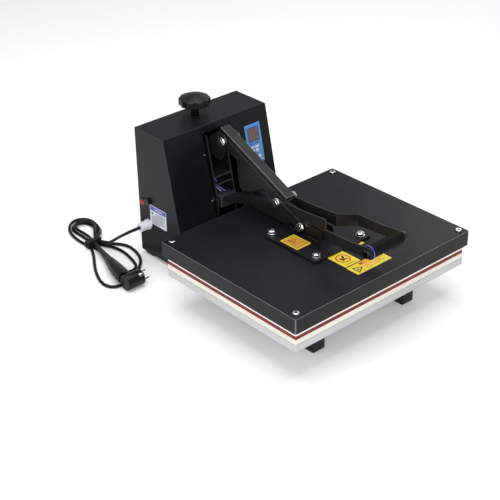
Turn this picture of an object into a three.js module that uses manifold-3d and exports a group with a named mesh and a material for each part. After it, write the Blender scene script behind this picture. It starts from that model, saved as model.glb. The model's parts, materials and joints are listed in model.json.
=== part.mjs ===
// Clamshell heat press with a 400 x 500 mm platen: millimetres, +Z up, operator at -Y, right hand at +X.
// The origin is on the floor, under the middle of the press.
import * as THREE from "three";
import { mergeVertices } from "three/addons/utils/BufferGeometryUtils.js";
import Module from "manifold-3d";

const wasm = await Module();
wasm.setup();

// ---------- driving dimensions ----------
const gap = 0.3; // between pieces that touch
const runningGap = 0.3; // between plates that slide past each other

// Platen sandwich, from the floor up
const platenWidth = 504;
const platenDepth = 406;
const coverOverhang = 7; // the cover stands this far outside the platens
const lowerPlatenBottom = 76;
const lowerPlatenThickness = 17;
const padThickness = 12;
const matThickness = 7.4;
const heaterThickness = 15;
const heaterInView = 11.3; // heater's edge below the cover's rim
const coverHeight = 35.4;
const coverWall = 2;
const insulationThickness = 14;
const closedGap = 0.3; // between mat and heater with the press shut

// Base frame
const railWidth = 27;
const railWall = 2;
const railFront = -149;
const footHeight = 10;
const bootLength = 30;
const bootWall = 4;
const bootSide = 2; // the boot stands this far outside the rail
const rearFootLength = 34;
const railHeight = 40;
const beamDepth = 24;
const beamFrontY = -110;
const beamRearY = 150;

// Housing
const housingWidth = 304;
const housingTop = 323;
const housingBack = 432;
const housingTopDepth = 103;
const housingLean = 0.2113; // forward run of the front face per millimetre down
const skirtTop = 47;
const skirtStep = 4;
const housingBottom = 8;
const housingWall = 2;
const slotWidth = 86;
const slotTop = 308;
const slotBottom = 104;

// Linkage, side view (y from the platen's middle, z above the cover)
const armPivot = { y: 316, z: -22 };
const leverPivot = { y: 284.5, z: 134.7 };
const togglePivot = { y: 100.6, z: 52.1 };
const lowerPivot = { y: 25.2, z: 21.6 };
const rockerPivot = { y: 345, z: 102 };
const screwY = 402;
const boltRadius = 5;
const boltHole = boltRadius + gap;
const rockerSwing = 2.5; // how far the rocker's front end moves round the upper pivot bolt
const shaftRadius = 6;
const shaftHole = shaftRadius + gap;

// Linkage, stacked outwards from the middle plane
const tubeWidth = 25;
const tubeHeight = 15;
const tubeWall = 2.5;
const leverLift = 22.1; // pivot line to the top of the lever tube
const plateThickness = 3;
const towerInner = 25;
const towerThickness = 3;

// Handle
const gripY = -200;
const gripZ = 62;
const gripRadius = 14.5;
const splayStart = -45;
const splayLength = 34;
const barEndRadius = 12.5;
const gripHalf = 47.5;

// Knob and screw
const knobRadius = 37;
const knobLobes = 10;
const knobLobeDepth = 1.8;
const knobBottom = 341;
const knobThickness = 23;
const knobHubRadius = 9;
const knobHubLength = 16.5;
const screwRadius = 6;

// Cord
const cordDiameter = 7.5;

// ---------- derived places ----------
const padBottom = lowerPlatenBottom + lowerPlatenThickness + gap;
const matBottom = padBottom + padThickness + gap;
const heaterBottom = matBottom + matThickness + closedGap;
const coverBottom = heaterBottom + heaterInView;
const coverTop = coverBottom + coverHeight;
const coverHalfX = platenWidth / 2 + coverOverhang;
const coverHalfY = platenDepth / 2 + coverOverhang;
const railBottom = footHeight + gap;
const railTop = railBottom + railHeight;
const housingHalf = housingWidth / 2;
const railCentre = housingHalf - housingWall - gap - railWidth / 2;
const pivotAt = (p) => ({ y: p.y, z: coverTop + p.z });
const P0 = pivotAt(armPivot);
const P1 = pivotAt(leverPivot);
const P2 = pivotAt(togglePivot);
const P3 = pivotAt(lowerPivot);
const PR = pivotAt(rockerPivot);
const tubeHalf = tubeWidth / 2;
const layer = (n) => {
  const inner = tubeHalf + gap + n * (plateThickness + runningGap);
  return [inner, inner + plateThickness];
};
const sideLayer = layer(0); // lever side plates
const barLayer = layer(1); // handle bars, rocker plates and ears
const linkLayer = layer(2); // link plates
const washerInner = linkLayer[1] + gap;
const frontY = (z) => housingBack - housingTopDepth - (housingTop - z) * housingLean;

// ---------- materials ----------
const finish = (color, roughness, metalness) => {
  return new THREE.MeshStandardMaterial({ color, roughness, metalness });
};
const blackPaint = finish(0x29272c, 0.42, 0.2);
const framePaint = finish(0x1d1d20, 0.5, 0.2);
const zinc = finish(0xc9ccd0, 0.25, 1);
const steel = finish(0x8d9094, 0.35, 1);
const aluminium = finish(0xb9bbbd, 0.4, 1);
const greyPlate = finish(0xb4b6b8, 0.5, 0.6);
const whiteSilicone = finish(0xe9e6dc, 0.75, 0);
const redSilicone = finish(0x8a1f1c, 0.7, 0);
const blackRubber = finish(0x161617, 0.8, 0);
const blackPlastic = finish(0x1b1b1d, 0.5, 0);
const whitePlastic = finish(0xe8e8ea, 0.4, 0);
const bluePanel = finish(0x2f7fd0, 0.35, 0);
const redPlastic = finish(0xd3202a, 0.3, 0);
const insulationWool = finish(0xd8cfae, 0.95, 0);

// ---------- geometry helpers ----------
function solid(geometry) {
  const bare = geometry.clone();
  bare.deleteAttribute("normal");
  bare.deleteAttribute("uv");
  const merged = mergeVertices(bare, 1e-3);
  const triVerts = new Uint32Array(merged.index.array);
  const vertProperties = new Float32Array(merged.attributes.position.array);
  return new wasm.Manifold(new wasm.Mesh({ numProp: 3, vertProperties, triVerts }));
}

function shell(body) {
  const mesh = body.getMesh();
  const geometry = new THREE.BufferGeometry();
  geometry.setAttribute("position", new THREE.BufferAttribute(new Float32Array(mesh.vertProperties), 3));
  geometry.setIndex(new THREE.BufferAttribute(new Uint32Array(mesh.triVerts), 1));
  geometry.computeVertexNormals();
  return geometry;
}

const cut = (base, ...tools) => shell(tools.reduce((left, tool) => left.subtract(solid(tool)), solid(base)));
const join = (base, ...more) => shell(more.reduce((left, piece) => left.add(solid(piece)), solid(base)));
const common = (a, b) => shell(solid(a).intersect(solid(b)));

function block(x0, x1, y0, y1, z0, z1) {
  const box = new THREE.BoxGeometry(x1 - x0, y1 - y0, z1 - z0);
  return box.translate((x0 + x1) / 2, (y0 + y1) / 2, (z0 + z1) / 2);
}

// A closed outline from points [u, v, cornerRadius]; a corner with no radius stays sharp.
function outline(points, arcSteps = 5) {
  const made = [];
  points.forEach(([u, v, radius = 0], i) => {
    const corner = new THREE.Vector2(u, v);
    if (radius === 0) {
      made.push(corner);
      return;
    }
    const before = points[(i + points.length - 1) % points.length];
    const after = points[(i + 1) % points.length];
    const toBefore = new THREE.Vector2(before[0] - u, before[1] - v).normalize();
    const toAfter = new THREE.Vector2(after[0] - u, after[1] - v).normalize();
    const half = Math.acos(THREE.MathUtils.clamp(toBefore.dot(toAfter), -1, 1)) / 2;
    const inward = toBefore.clone().add(toAfter).normalize();
    const centre = corner.clone().addScaledVector(inward, radius / Math.sin(half));
    const reach = radius / Math.tan(half);
    const start = corner.clone().addScaledVector(toBefore, reach).sub(centre);
    const end = corner.clone().addScaledVector(toAfter, reach).sub(centre);
    const turn = Math.atan2(start.cross(end), start.dot(end));
    for (let k = 0; k <= arcSteps; k++) {
      made.push(start.clone().rotateAround(new THREE.Vector2(), (turn * k) / arcSteps).add(centre));
    }
  });
  return made;
}

// An outline round two circles [u, v, radius], joined by their outer tangents.
function strap(a, b, steps = 8) {
  const [au, av, ar] = a;
  const [bu, bv, br] = b;
  const along = Math.atan2(bv - av, bu - au);
  const lean = Math.acos((ar - br) / Math.hypot(bu - au, bv - av));
  const made = [];
  for (let k = 0; k <= steps; k++) {
    const angle = along + lean + ((2 * Math.PI - 2 * lean) * k) / steps;
    made.push(new THREE.Vector2(au + ar * Math.cos(angle), av + ar * Math.sin(angle)));
  }
  for (let k = 0; k <= steps; k++) {
    const angle = along - lean + (2 * lean * k) / steps;
    made.push(new THREE.Vector2(bu + br * Math.cos(angle), bv + br * Math.sin(angle)));
  }
  return made;
}

function extruded(points, depth) {
  return new THREE.ExtrudeGeometry(new THREE.Shape(points), { depth, bevelEnabled: false, steps: 1 });
}

// A plate whose outline is given in side view, as (y, z), between two values of x.
function sidePlate(points, x0, x1) {
  const turn = new THREE.Matrix4();
  turn.makeBasis(new THREE.Vector3(0, 1, 0), new THREE.Vector3(0, 0, 1), new THREE.Vector3(1, 0, 0));
  return extruded(points, x1 - x0).applyMatrix4(turn).translate(x0, 0, 0);
}

// A plate whose outline is given from above, as (x, y), between two heights.
const flatPlate = (points, z0, z1) => extruded(points, z1 - z0).translate(0, 0, z0);

// Moves every edge of an outline inwards by the same distance.
function inset(points, distance) {
  const area = THREE.ShapeUtils.area(points);
  const side = Math.sign(area) * distance;
  return points.map((p, i) => {
    const before = points[(i + points.length - 1) % points.length];
    const after = points[(i + 1) % points.length];
    const n0 = new THREE.Vector2(before.y - p.y, p.x - before.x).normalize();
    const n1 = new THREE.Vector2(p.y - after.y, after.x - p.x).normalize();
    const mean = n0.clone().add(n1);
    return p.clone().addScaledVector(mean, side / (1 + n0.dot(n1)));
  });
}

function rodX(radius, x0, x1, at, sides = 24) {
  const rod = new THREE.CylinderGeometry(radius, radius, x1 - x0, sides);
  return rod.rotateZ(-Math.PI / 2).rotateX(Math.PI / sides).translate((x0 + x1) / 2, at.y, at.z);
}

function rodZ(radius, z0, z1, at, sides = 24) {
  const rod = new THREE.CylinderGeometry(radius, radius, z1 - z0, sides);
  return rod.rotateX(Math.PI / 2).translate(at.x, at.y, (z0 + z1) / 2);
}

// A turned piece along Z from profile points [radius, z], which start and end on the axis.
function turned(profile, sides = 32) {
  const points = profile.map(([r, z]) => new THREE.Vector2(r, z));
  return new THREE.LatheGeometry(points, sides).rotateX(Math.PI / 2);
}

// ---------- scene graph ----------
const press = new THREE.Group();
const frame = new THREE.Group();
const arm = new THREE.Group();
const link = new THREE.Group();
const lever = new THREE.Group();
const rocker = new THREE.Group();
const screw = new THREE.Group();
press.add(frame, arm, link, lever, rocker, screw);

function add(group, name, geometry, material) {
  const mesh = new THREE.Mesh(geometry, material);
  mesh.name = name;
  group.add(mesh);
  return mesh;
}

const sides = [
  ["left", -1],
  ["right", 1],
];
const across = (side, [inner, outer]) => (side < 0 ? [-outer, -inner] : [inner, outer]);

// ---------- base frame ----------
const railBack = housingBack - housingWall - gap - 4;
for (const [label, side] of sides) {
  const x = side * railCentre;
  const half = railWidth / 2;
  const outer = block(x - half, x + half, railFront, railBack, railBottom, railTop);
  const bore = block(
    x - half + railWall,
    x + half - railWall,
    railFront - 1,
    railBack + 1,
    railBottom + railWall,
    railTop - railWall,
  );
  add(frame, `base_rail_${label}`, cut(outer, bore), framePaint);

  // Front foot: a rubber boot that closes the tube's end and wraps under it.
  const bootOutline = outline([
    [railFront - bootWall, railTop],
    [railFront - bootWall, 0, 6],
    [railFront + bootLength, 0, 2],
    [railFront + bootLength, footHeight],
    [railFront - gap, footHeight],
    [railFront - gap, railTop],
  ]);
  const bootHalf = half + bootSide;
  add(frame, `front_foot_${label}`, sidePlate(bootOutline, x - bootHalf, x + bootHalf), blackRubber);

  const rearFoot = outline([
    [x - half + 1, railBack - rearFootLength, 4],
    [x + half - 1, railBack - rearFootLength, 4],
    [x + half - 1, railBack - 2, 4],
    [x - half + 1, railBack - 2, 4],
  ]);
  add(frame, `rear_foot_${label}`, flatPlate(rearFoot, 0, footHeight), blackRubber);
}

const beamBottom = railTop + gap;
const beamTop = lowerPlatenBottom - gap;
function crossBeam(centreY) {
  const half = railCentre + railWidth / 2;
  const outer = block(-half, half, centreY - beamDepth / 2, centreY + beamDepth / 2, beamBottom, beamTop);
  const inner = block(
    -half - 1,
    half + 1,
    centreY - beamDepth / 2 + railWall,
    centreY + beamDepth / 2 - railWall,
    beamBottom + railWall,
    beamTop - railWall,
  );
  return cut(outer, inner);
}
add(frame, "cross_beam_front", crossBeam(beamFrontY), framePaint);
add(frame, "cross_beam_rear", crossBeam(beamRearY), framePaint);

// ---------- lower platen, pad and mat ----------
function slab(halfX, halfY, z0, z1, radius) {
  const corners = [
    [-halfX, -halfY, radius],
    [halfX, -halfY, radius],
    [halfX, halfY, radius],
    [-halfX, halfY, radius],
  ];
  return flatPlate(outline(corners, 3), z0, z1);
}
const halfX = platenWidth / 2;
const halfY = platenDepth / 2;
const lowerPlatenTop = lowerPlatenBottom + lowerPlatenThickness;
add(frame, "lower_platen", slab(halfX, halfY, lowerPlatenBottom, lowerPlatenTop, 2), greyPlate);
const padTop = padBottom + padThickness;
const matTop = matBottom + matThickness;
add(frame, "silicone_pad", slab(halfX - 0.5, halfY - 0.5, padBottom, padTop, 2), whiteSilicone);
add(frame, "red_mat", slab(halfX - 0.5, halfY - 0.5, matBottom, matTop, 2), redSilicone);

// ---------- upper platen and cover ----------
const heaterTop = heaterBottom + heaterThickness;
add(arm, "heater_platen", slab(halfX - 1, halfY - 1, heaterBottom, heaterTop, 2), aluminium);
const woolBottom = heaterTop + gap;
const woolTop = Math.min(woolBottom + insulationThickness, coverTop - coverWall - 3);
add(arm, "insulation_board", slab(halfX - 6, halfY - 6, woolBottom, woolTop, 2), insulationWool);

const mountBoltX = 66;
const mountBoltY = 69;
const mountHole = 5.2;
const coverOuter = slab(coverHalfX, coverHalfY, coverBottom, coverTop, 3);
const innerHalfX = coverHalfX - coverWall;
const innerHalfY = coverHalfY - coverWall;
const coverInner = slab(innerHalfX, innerHalfY, coverBottom - 1, coverTop - coverWall, 2);
add(arm, "upper_cover", cut(coverOuter, coverInner), blackPaint);

// ---------- mounting bracket and arm ----------
const bracketHalfX = 84;
const bracketFront = -84;
const bracketBack = 76;
const bracketThickness = 4.5;
const earFront = -34;
const earBack = 70;
const earTop = 33;
const bracketBottom = coverTop + gap;
const bracketTop = bracketBottom + bracketThickness;

function mountingBracket() {
  const plate = flatPlate(
    outline([
      [-bracketHalfX, bracketFront, 4],
      [bracketHalfX, bracketFront, 4],
      [bracketHalfX, bracketBack, 4],
      [-bracketHalfX, bracketBack, 4],
    ]),
    bracketBottom,
    bracketTop,
  );
  const ear = outline([
    [earFront, bracketTop - 1],
    [earBack, bracketTop - 1],
    [earBack, bracketTop + 8],
    [lowerPivot.y + 22, coverTop + earTop, 8],
    [earFront, coverTop + earTop - 1.5, 7],
  ]);
  const ears = sides.map(([, side]) => sidePlate(ear, ...across(side, barLayer)));
  const whole = join(plate, ...ears);
  const holes = [rodX(boltHole, -linkLayer[1], linkLayer[1], P3)];
  for (const sx of [-1, 1]) {
    for (const sy of [-1, 1]) {
      const at = { x: sx * mountBoltX, y: sy * mountBoltY };
      holes.push(rodZ(mountHole, bracketBottom - 1, bracketTop + 1, at, 16));
    }
  }
  return cut(whole, ...holes);
}
add(arm, "mounting_bracket", mountingBracket(), blackPaint);

const boltHeadHeight = 6.4;
const washerThickness = 1.5;
function hexBoltUp() {
  const washer = turned([[0, 0], [10, 0], [10, washerThickness], [0, washerThickness]], 20);
  const head = turned(
    [
      [0, washerThickness - 0.5],
      [9.2, washerThickness - 0.5],
      [9.2, washerThickness + boltHeadHeight - 1.2],
      [7.6, washerThickness + boltHeadHeight],
      [0, washerThickness + boltHeadHeight],
    ],
    6,
  );
  const shank = rodZ(mountHole - 0.4, -bracketThickness, 0.5, { x: 0, y: 0 }, 16);
  return join(washer, head, shank);
}
const boltGeometry = hexBoltUp();
for (const [row, sy] of [["front", -1], ["rear", 1]]) {
  for (const [label, sx] of sides) {
    const bolt = add(arm, `mount_bolt_${row}_${label}`, boltGeometry, zinc);
    bolt.position.set(sx * mountBoltX, sy * mountBoltY, bracketTop + gap);
  }
}

// The arm is a welded rectangular box section, cranked over the rear edge of the cover.
const yokeFront = armPivot.y - 26;
const yokeBack = armPivot.y + 20;
const yokeHalfHeight = 14;
const armEnd = 5; // front end of the box section
const underBracket = bracketTop - coverTop + gap;
const armSection = [
  [yokeFront - gap, -8],
  [241, 13],
  [191, 35, 12],
  [132, 36],
  [60, 33.5],
  [armEnd, 31],
  [armEnd, underBracket],
  [bracketBack + 4, underBracket],
  [bracketBack + 6, 2],
  [coverHalfY + 2, 2, 6],
  [242, -9.9],
  [yokeFront - gap, -20],
].map(([y, z, r]) => [y, coverTop + z, r]);
const armOutline = outline(armSection, 3);
function lowerArm() {
  const body = sidePlate(armOutline, -tubeHalf, tubeHalf);
  const core = inset(armOutline, tubeWall);
  const hollow = sidePlate(core, -tubeHalf + tubeWall, tubeHalf - tubeWall);
  const mouth = block(
    -tubeHalf + tubeWall,
    tubeHalf - tubeWall,
    armEnd - 1,
    armEnd + 8,
    coverTop + underBracket + tubeWall,
    coverTop + 31 - tubeWall,
  );
  return cut(body, hollow, mouth, rodX(boltHole, -tubeWidth, tubeWidth, P3));
}
add(arm, "lower_arm", lowerArm(), blackPaint);

const yokeHalf = towerInner - 3;
const yoke = block(-yokeHalf, yokeHalf, yokeFront, yokeBack, P0.z - yokeHalfHeight, P0.z + yokeHalfHeight);
add(arm, "arm_yoke", cut(yoke, rodX(shaftHole, -towerInner, towerInner, P0)), steel);

// A hexagon head or nut on its washer, facing along X, starting at |x| = from.
function headX(side, from, at) {
  const washer = rodX(10, ...across(side, [from, from + washerThickness]), at, 20);
  const headFrom = from + washerThickness;
  const head = rodX(9.2, ...across(side, [headFrom - 0.5, headFrom + boltHeadHeight]), at, 6);
  return join(washer, head);
}

function throughBolt(at, from) {
  const shank = rodX(boltRadius, -from - 1, from + 1, at);
  return join(shank, headX(-1, from, at), headX(1, from, at));
}
add(arm, "lower_pivot_bolt", throughBolt(P3, washerInner), zinc);

// ---------- links ----------
const linkRadius = 10.5;
for (const [label, side] of sides) {
  const linkOutline = strap([P3.y, P3.z, linkRadius], [P2.y, P2.z, linkRadius]);
  const plate = sidePlate(linkOutline, ...across(side, linkLayer));
  add(link, `link_${label}`, cut(plate, rodX(boltHole, -60, 60, P3)), blackPaint);
  add(link, `toggle_bolt_${label}`, headX(side, washerInner, P2), zinc);
}

// ---------- lever ----------
const slope = Math.atan2(leverPivot.z - togglePivot.z, leverPivot.y - togglePivot.y);
const alongLever = (from, along, up) => [
  from.y + along * Math.cos(slope) - up * Math.sin(slope),
  from.z + along * Math.sin(slope) + up * Math.cos(slope),
];
const leverTubeFront = -14; // past the toggle pin
const leverTubeRear = 22; // past the lever pivot
const leverLength = Math.hypot(leverPivot.y - togglePivot.y, leverPivot.z - togglePivot.z);
function leverTube() {
  const section = (shrink, past) => outline([
    alongLever(P2, leverTubeFront - past, leverLift - shrink),
    alongLever(P2, leverTubeFront - past, leverLift - tubeHeight + shrink),
    alongLever(P2, leverLength + leverTubeRear + past, leverLift - tubeHeight + shrink),
    alongLever(P2, leverLength + leverTubeRear + past, leverLift - shrink),
  ]);
  return cut(
    sidePlate(section(0, 0), -tubeHalf, tubeHalf),
    sidePlate(section(tubeWall, 1), -tubeHalf + tubeWall, tubeHalf - tubeWall),
  );
}
add(lever, "lever_tube", leverTube(), blackPaint);

// Side plates carry both pins; their belly straddles the arm.
const sideTop = leverLift - 9.5;
const atCover = (y, z, r) => [y, coverTop + z, r];
const bellyOutline = outline([
  [...alongLever(P2, -12, sideTop), 3],
  [...alongLever(P2, -14, -3), 8],
  [...alongLever(P2, 0, -13), 6],
  atCover(152, 61.5, 6),
  atCover(169.5, 55.5, 6),
  atCover(187, 44, 4),
  atCover(214, 35.5, 4),
  atCover(230.6, 35, 6),
  atCover(240, 105, 4),
  atCover(270, 113, 4),
  [...alongLever(P2, leverLength + 8, -17), 10],
  [...alongLever(P2, leverLength + 17, 4), 10],
  [...alongLever(P2, leverLength + 10, sideTop), 4],
]);
for (const [label, side] of sides) {
  const plate = sidePlate(bellyOutline, ...across(side, sideLayer));
  const pinHoles = [rodX(boltHole, -30, 30, P1), rodX(boltHole, -30, 30, P2)];
  add(lever, `lever_side_${label}`, cut(plate, ...pinHoles), blackPaint);
}

// Toggle pin: shouldered between the side plates, ends level with the handle bars.
add(lever, "toggle_pin", rodX(boltRadius, -barLayer[1], barLayer[1], P2), zinc);

// Handle bars: flat bars that splay outwards ahead of the arm and hold the grip between their ends.
const barOuterX = gripHalf + gap + plateThickness;
const barProfile = outline([
  atCover(118, 62, 3),
  atCover(118, 44, 6),
  atCover(98, 38, 6),
  atCover(70, 36.5),
  atCover(splayStart, 36.5),
  atCover(splayStart - splayLength, 40, 10),
  atCover(gripY + 12, gripZ - barEndRadius, 8),
  atCover(gripY - barEndRadius, gripZ - barEndRadius, barEndRadius - 1),
  atCover(gripY - barEndRadius, gripZ + barEndRadius, barEndRadius - 1),
  atCover(gripY + 4, gripZ + barEndRadius, 8),
  atCover(gripY + 50, gripZ + 6.5, 20),
  atCover(splayStart, 66),
  atCover(18, 60.5, 30),
  atCover(90, 58, 10),
]);
function barPlan(side) {
  const inner = [
    [130, barLayer[0]],
    [splayStart, barLayer[0]],
    [splayStart - splayLength, barOuterX - plateThickness],
    [gripY - 30, barOuterX - plateThickness],
  ];
  const outer = [
    [gripY - 30, barOuterX],
    [splayStart - splayLength - 1, barOuterX],
    [splayStart - 1, barLayer[1]],
    [130, barLayer[1]],
  ];
  return [...inner, ...outer].map(([y, x]) => new THREE.Vector2(side * x, y));
}
for (const [label, side] of sides) {
  const band = flatPlate(barPlan(side), coverTop, coverTop + 120);
  const profile = sidePlate(barProfile, ...across(side, [barLayer[0] - 1, barOuterX + 1]));
  const rodHole = rodX(boltHole, -80, 80, { y: gripY, z: coverTop + gripZ });
  const bar = cut(common(profile, band), rodX(boltHole, -80, 80, P2), rodHole);
  add(lever, `handle_bar_${label}`, bar, blackPaint);
}

const gripAt = { y: gripY, z: coverTop + gripZ };
function grip() {
  const ribs = 9;
  const pitch = (2 * gripHalf) / ribs;
  const profile = [[0, -gripHalf], [gripRadius - 2, -gripHalf]];
  for (let k = 0; k < ribs; k++) {
    const start = -gripHalf + k * pitch;
    profile.push([gripRadius, start + 2], [gripRadius, start + pitch - 2.5]);
    profile.push([gripRadius - 1.8, start + pitch - 0.5]);
  }
  profile.push([gripRadius - 2, gripHalf], [0, gripHalf]);
  const body = turned(profile, 24).rotateY(Math.PI / 2).translate(0, gripAt.y, gripAt.z);
  return cut(body, rodX(boltHole, -gripHalf - 1, gripHalf + 1, gripAt, 16));
}
add(lever, "handle_grip", grip(), blackRubber);
add(lever, "grip_rod", throughBolt(gripAt, barOuterX + gap), zinc);

// ---------- pressure rocker ----------
const nutAt = { y: screwY, z: PR.z };
const rockerOutline = outline([
  [P1.y - 17, P1.z - 6, 12],
  [P1.y - 15, P1.z + 18, 15],
  [P1.y + 20, P1.z + 16, 14],
  [PR.y + 4, PR.z + 16, 10],
  [screwY + 12, nutAt.z + 12, 4],
  [screwY + 12, nutAt.z - 12, 4],
  [PR.y + 6, PR.z - 15, 10],
  [P1.y + 32, P1.z - 46, 6],
  [P1.y + 8, P1.z - 52, 9],
]);
function rockerBody() {
  const plates = sides.map(([, side]) => sidePlate(rockerOutline, ...across(side, barLayer)));
  const crossTube = rodX(11, -barLayer[0] - 1, barLayer[0] + 1, PR);
  const slot = block(-30, 30, screwY - 9, screwY + 9, nutAt.z - boltHole, nutAt.z + boltHole);
  const holes = [rodX(shaftHole, -30, 30, PR), rodX(boltHole + rockerSwing, -30, 30, P1)];
  return cut(join(crossTube, ...plates), ...holes, slot);
}
add(rocker, "pressure_rocker", rockerBody(), blackPaint);
add(rocker, "upper_pivot_bolt", throughBolt(P1, barLayer[1] + gap), zinc);

// ---------- pressure screw, nut and knob ----------
const nutHalf = 14;
function pressureNut() {
  const body = block(-nutHalf, nutHalf, screwY - 13, screwY + 13, nutAt.z - 13, nutAt.z + 13);
  const trunnions = rodX(boltRadius, -barLayer[1], barLayer[1], nutAt);
  const bore = rodZ(screwRadius + gap, nutAt.z - 20, nutAt.z + 20, { x: 0, y: screwY });
  return cut(join(body, trunnions), bore);
}
add(rocker, "pressure_nut", pressureNut(), steel);

const towerTop = coverTop + 136;
const bridgeBottom = towerTop + gap;
const bridgeTop = bridgeBottom + 6;
const screwBottom = nutAt.z - 26;
const collar = 3;
const screwProfile = [
  [0, screwBottom],
  [screwRadius, screwBottom],
  [screwRadius, bridgeBottom - gap - collar],
  [screwRadius + 5, bridgeBottom - gap - collar],
  [screwRadius + 5, bridgeBottom - gap],
  [screwRadius, bridgeBottom - gap],
  [screwRadius, bridgeTop + gap],
  [screwRadius + 5, bridgeTop + gap],
  [screwRadius + 5, bridgeTop + gap + collar],
  [screwRadius, bridgeTop + gap + collar],
  [screwRadius, knobBottom + 2],
  [0, knobBottom + 2],
];
add(screw, "pressure_screw", turned(screwProfile, 20).translate(0, screwY, 0), steel);

function knob() {
  const steps = knobLobes * 10;
  const knobTop = knobBottom + knobThickness;
  const hubBottom = knobBottom - knobHubLength;
  const points = [];
  for (let k = 0; k < steps; k++) {
    const angle = (2 * Math.PI * k) / steps;
    const radius = knobRadius - knobLobeDepth + knobLobeDepth * Math.cos(knobLobes * angle);
    points.push(new THREE.Vector2(radius * Math.cos(angle), radius * Math.sin(angle)));
  }
  const lobes = flatPlate(points, knobBottom, knobTop + 6);
  const dome = turned(
    [
      [0, hubBottom],
      [knobHubRadius, hubBottom],
      [knobHubRadius + 7, knobBottom + 1],
      [knobRadius + 6, knobBottom + 4],
      [knobRadius + 6, knobTop - 9],
      [knobRadius - 6, knobTop - 3],
      [12, knobTop + 3],
      [0, knobTop + 4],
    ],
    48,
  );
  const hub = turned(
    [
      [0, hubBottom],
      [knobHubRadius, hubBottom],
      [knobHubRadius + 4, knobBottom + 6],
      [0, knobBottom + 6],
    ],
    32,
  );
  const socket = rodZ(screwRadius + gap, hubBottom - 1, knobBottom + 2.4, { x: 0, y: 0 });
  return cut(join(common(lobes, dome), hub), socket);
}
add(screw, "pressure_knob", knob().translate(0, screwY, 0), blackPlastic);

// ---------- tower inside the housing ----------
const towerBaseBottom = railTop + gap;
const towerBaseTop = towerBaseBottom + 6;
const towerFoot = towerBaseTop + gap;
const towerFront = (z) => frontY(z) + 7;
const towerBack = housingBack - housingWall - 6;
const towerOutline = outline([
  [towerFront(P0.z) - 2, towerFoot],
  [towerBack, towerFoot],
  [towerBack, towerTop],
  [towerFront(towerTop), towerTop, 6],
  [towerFront(P0.z) - 2, P0.z, 10],
]);
add(
  frame,
  "tower_base",
  block(-railCentre, railCentre, towerFront(P0.z) - 8, towerBack, towerBaseBottom, towerBaseTop),
  framePaint,
);
for (const [label, side] of sides) {
  const plate = sidePlate(towerOutline, ...across(side, [towerInner, towerInner + towerThickness]));
  const shaftHoles = [P0, PR].map((at) => rodX(shaftHole, -40, 40, at));
  add(frame, `tower_plate_${label}`, cut(plate, ...shaftHoles), framePaint);
}

function shelfBracket() {
  const half = towerInner - gap;
  const front = towerFront(P0.z) + 8;
  const upper = block(-half, half, front, towerBack - 20, coverTop + 36, coverTop + 39);
  const lower = block(-half, half, front, towerBack - 20, coverTop + 16, coverTop + 19);
  const web = block(-half, half, towerBack - 23, towerBack - 20, coverTop + 16, coverTop + 39);
  return join(upper, lower, web);
}
add(frame, "tower_shelf", shelfBracket(), framePaint);

const outerTower = towerInner + towerThickness;
const bridgeFront = towerFront(towerTop) + 30;
const bridge = block(-outerTower, outerTower, bridgeFront, towerBack, bridgeBottom, bridgeTop);
add(frame, "tower_bridge", cut(bridge, rodZ(screwRadius + 0.6, 0, 400, { x: 0, y: screwY })), framePaint);

function shaft(at) {
  const half = outerTower + gap;
  const bar = rodX(shaftRadius, -half - 2, half + 2, at);
  const rings = sides.map(([, side]) => rodX(shaftRadius + 3, ...across(side, [half, half + 3]), at));
  return join(bar, ...rings);
}
add(frame, "arm_shaft", shaft(P0), zinc);
add(frame, "rocker_shaft", shaft(PR), zinc);

// ---------- housing ----------
const skirtFront = frontY(skirtTop) - skirtStep;
const housingSide = outline([
  [skirtFront, housingBottom],
  [housingBack, housingBottom],
  [housingBack, housingTop],
  [frontY(housingTop), housingTop, 3],
  [frontY(skirtTop + 3), skirtTop + 3],
  [skirtFront, skirtTop],
]);
const panelWidth = 46;
const panelCentreX = 101;
const panelTop = 288; // height of the panel's upper edge on the front face
const panelLength = 95;
const faceLength = Math.hypot(1, housingLean);
const switchAt = { y: 418, z: coverTop - 22 };
const fuseAt = { y: 396, z: coverTop - 12 };
const glandAt = { y: 397, z: coverTop - 71 };
const switchRadius = 9;
const fuseRadius = 6.5;
const glandRadius = 11;

// Places a piece drawn flat (x across, y up, z out) on the front face, from the panel's upper edge.
function onFace(geometry) {
  const turn = new THREE.Matrix4();
  const up = new THREE.Vector3(0, housingLean / faceLength, 1 / faceLength);
  const out = new THREE.Vector3(0, -1 / faceLength, housingLean / faceLength);
  turn.makeBasis(new THREE.Vector3(1, 0, 0), up, out);
  return geometry.applyMatrix4(turn).translate(panelCentreX, frontY(panelTop), panelTop);
}
const faceBlock = (halfWidth, down0, down1, out0, out1) =>
  onFace(block(-halfWidth, halfWidth, -down1, -down0, out0, out1));

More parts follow.
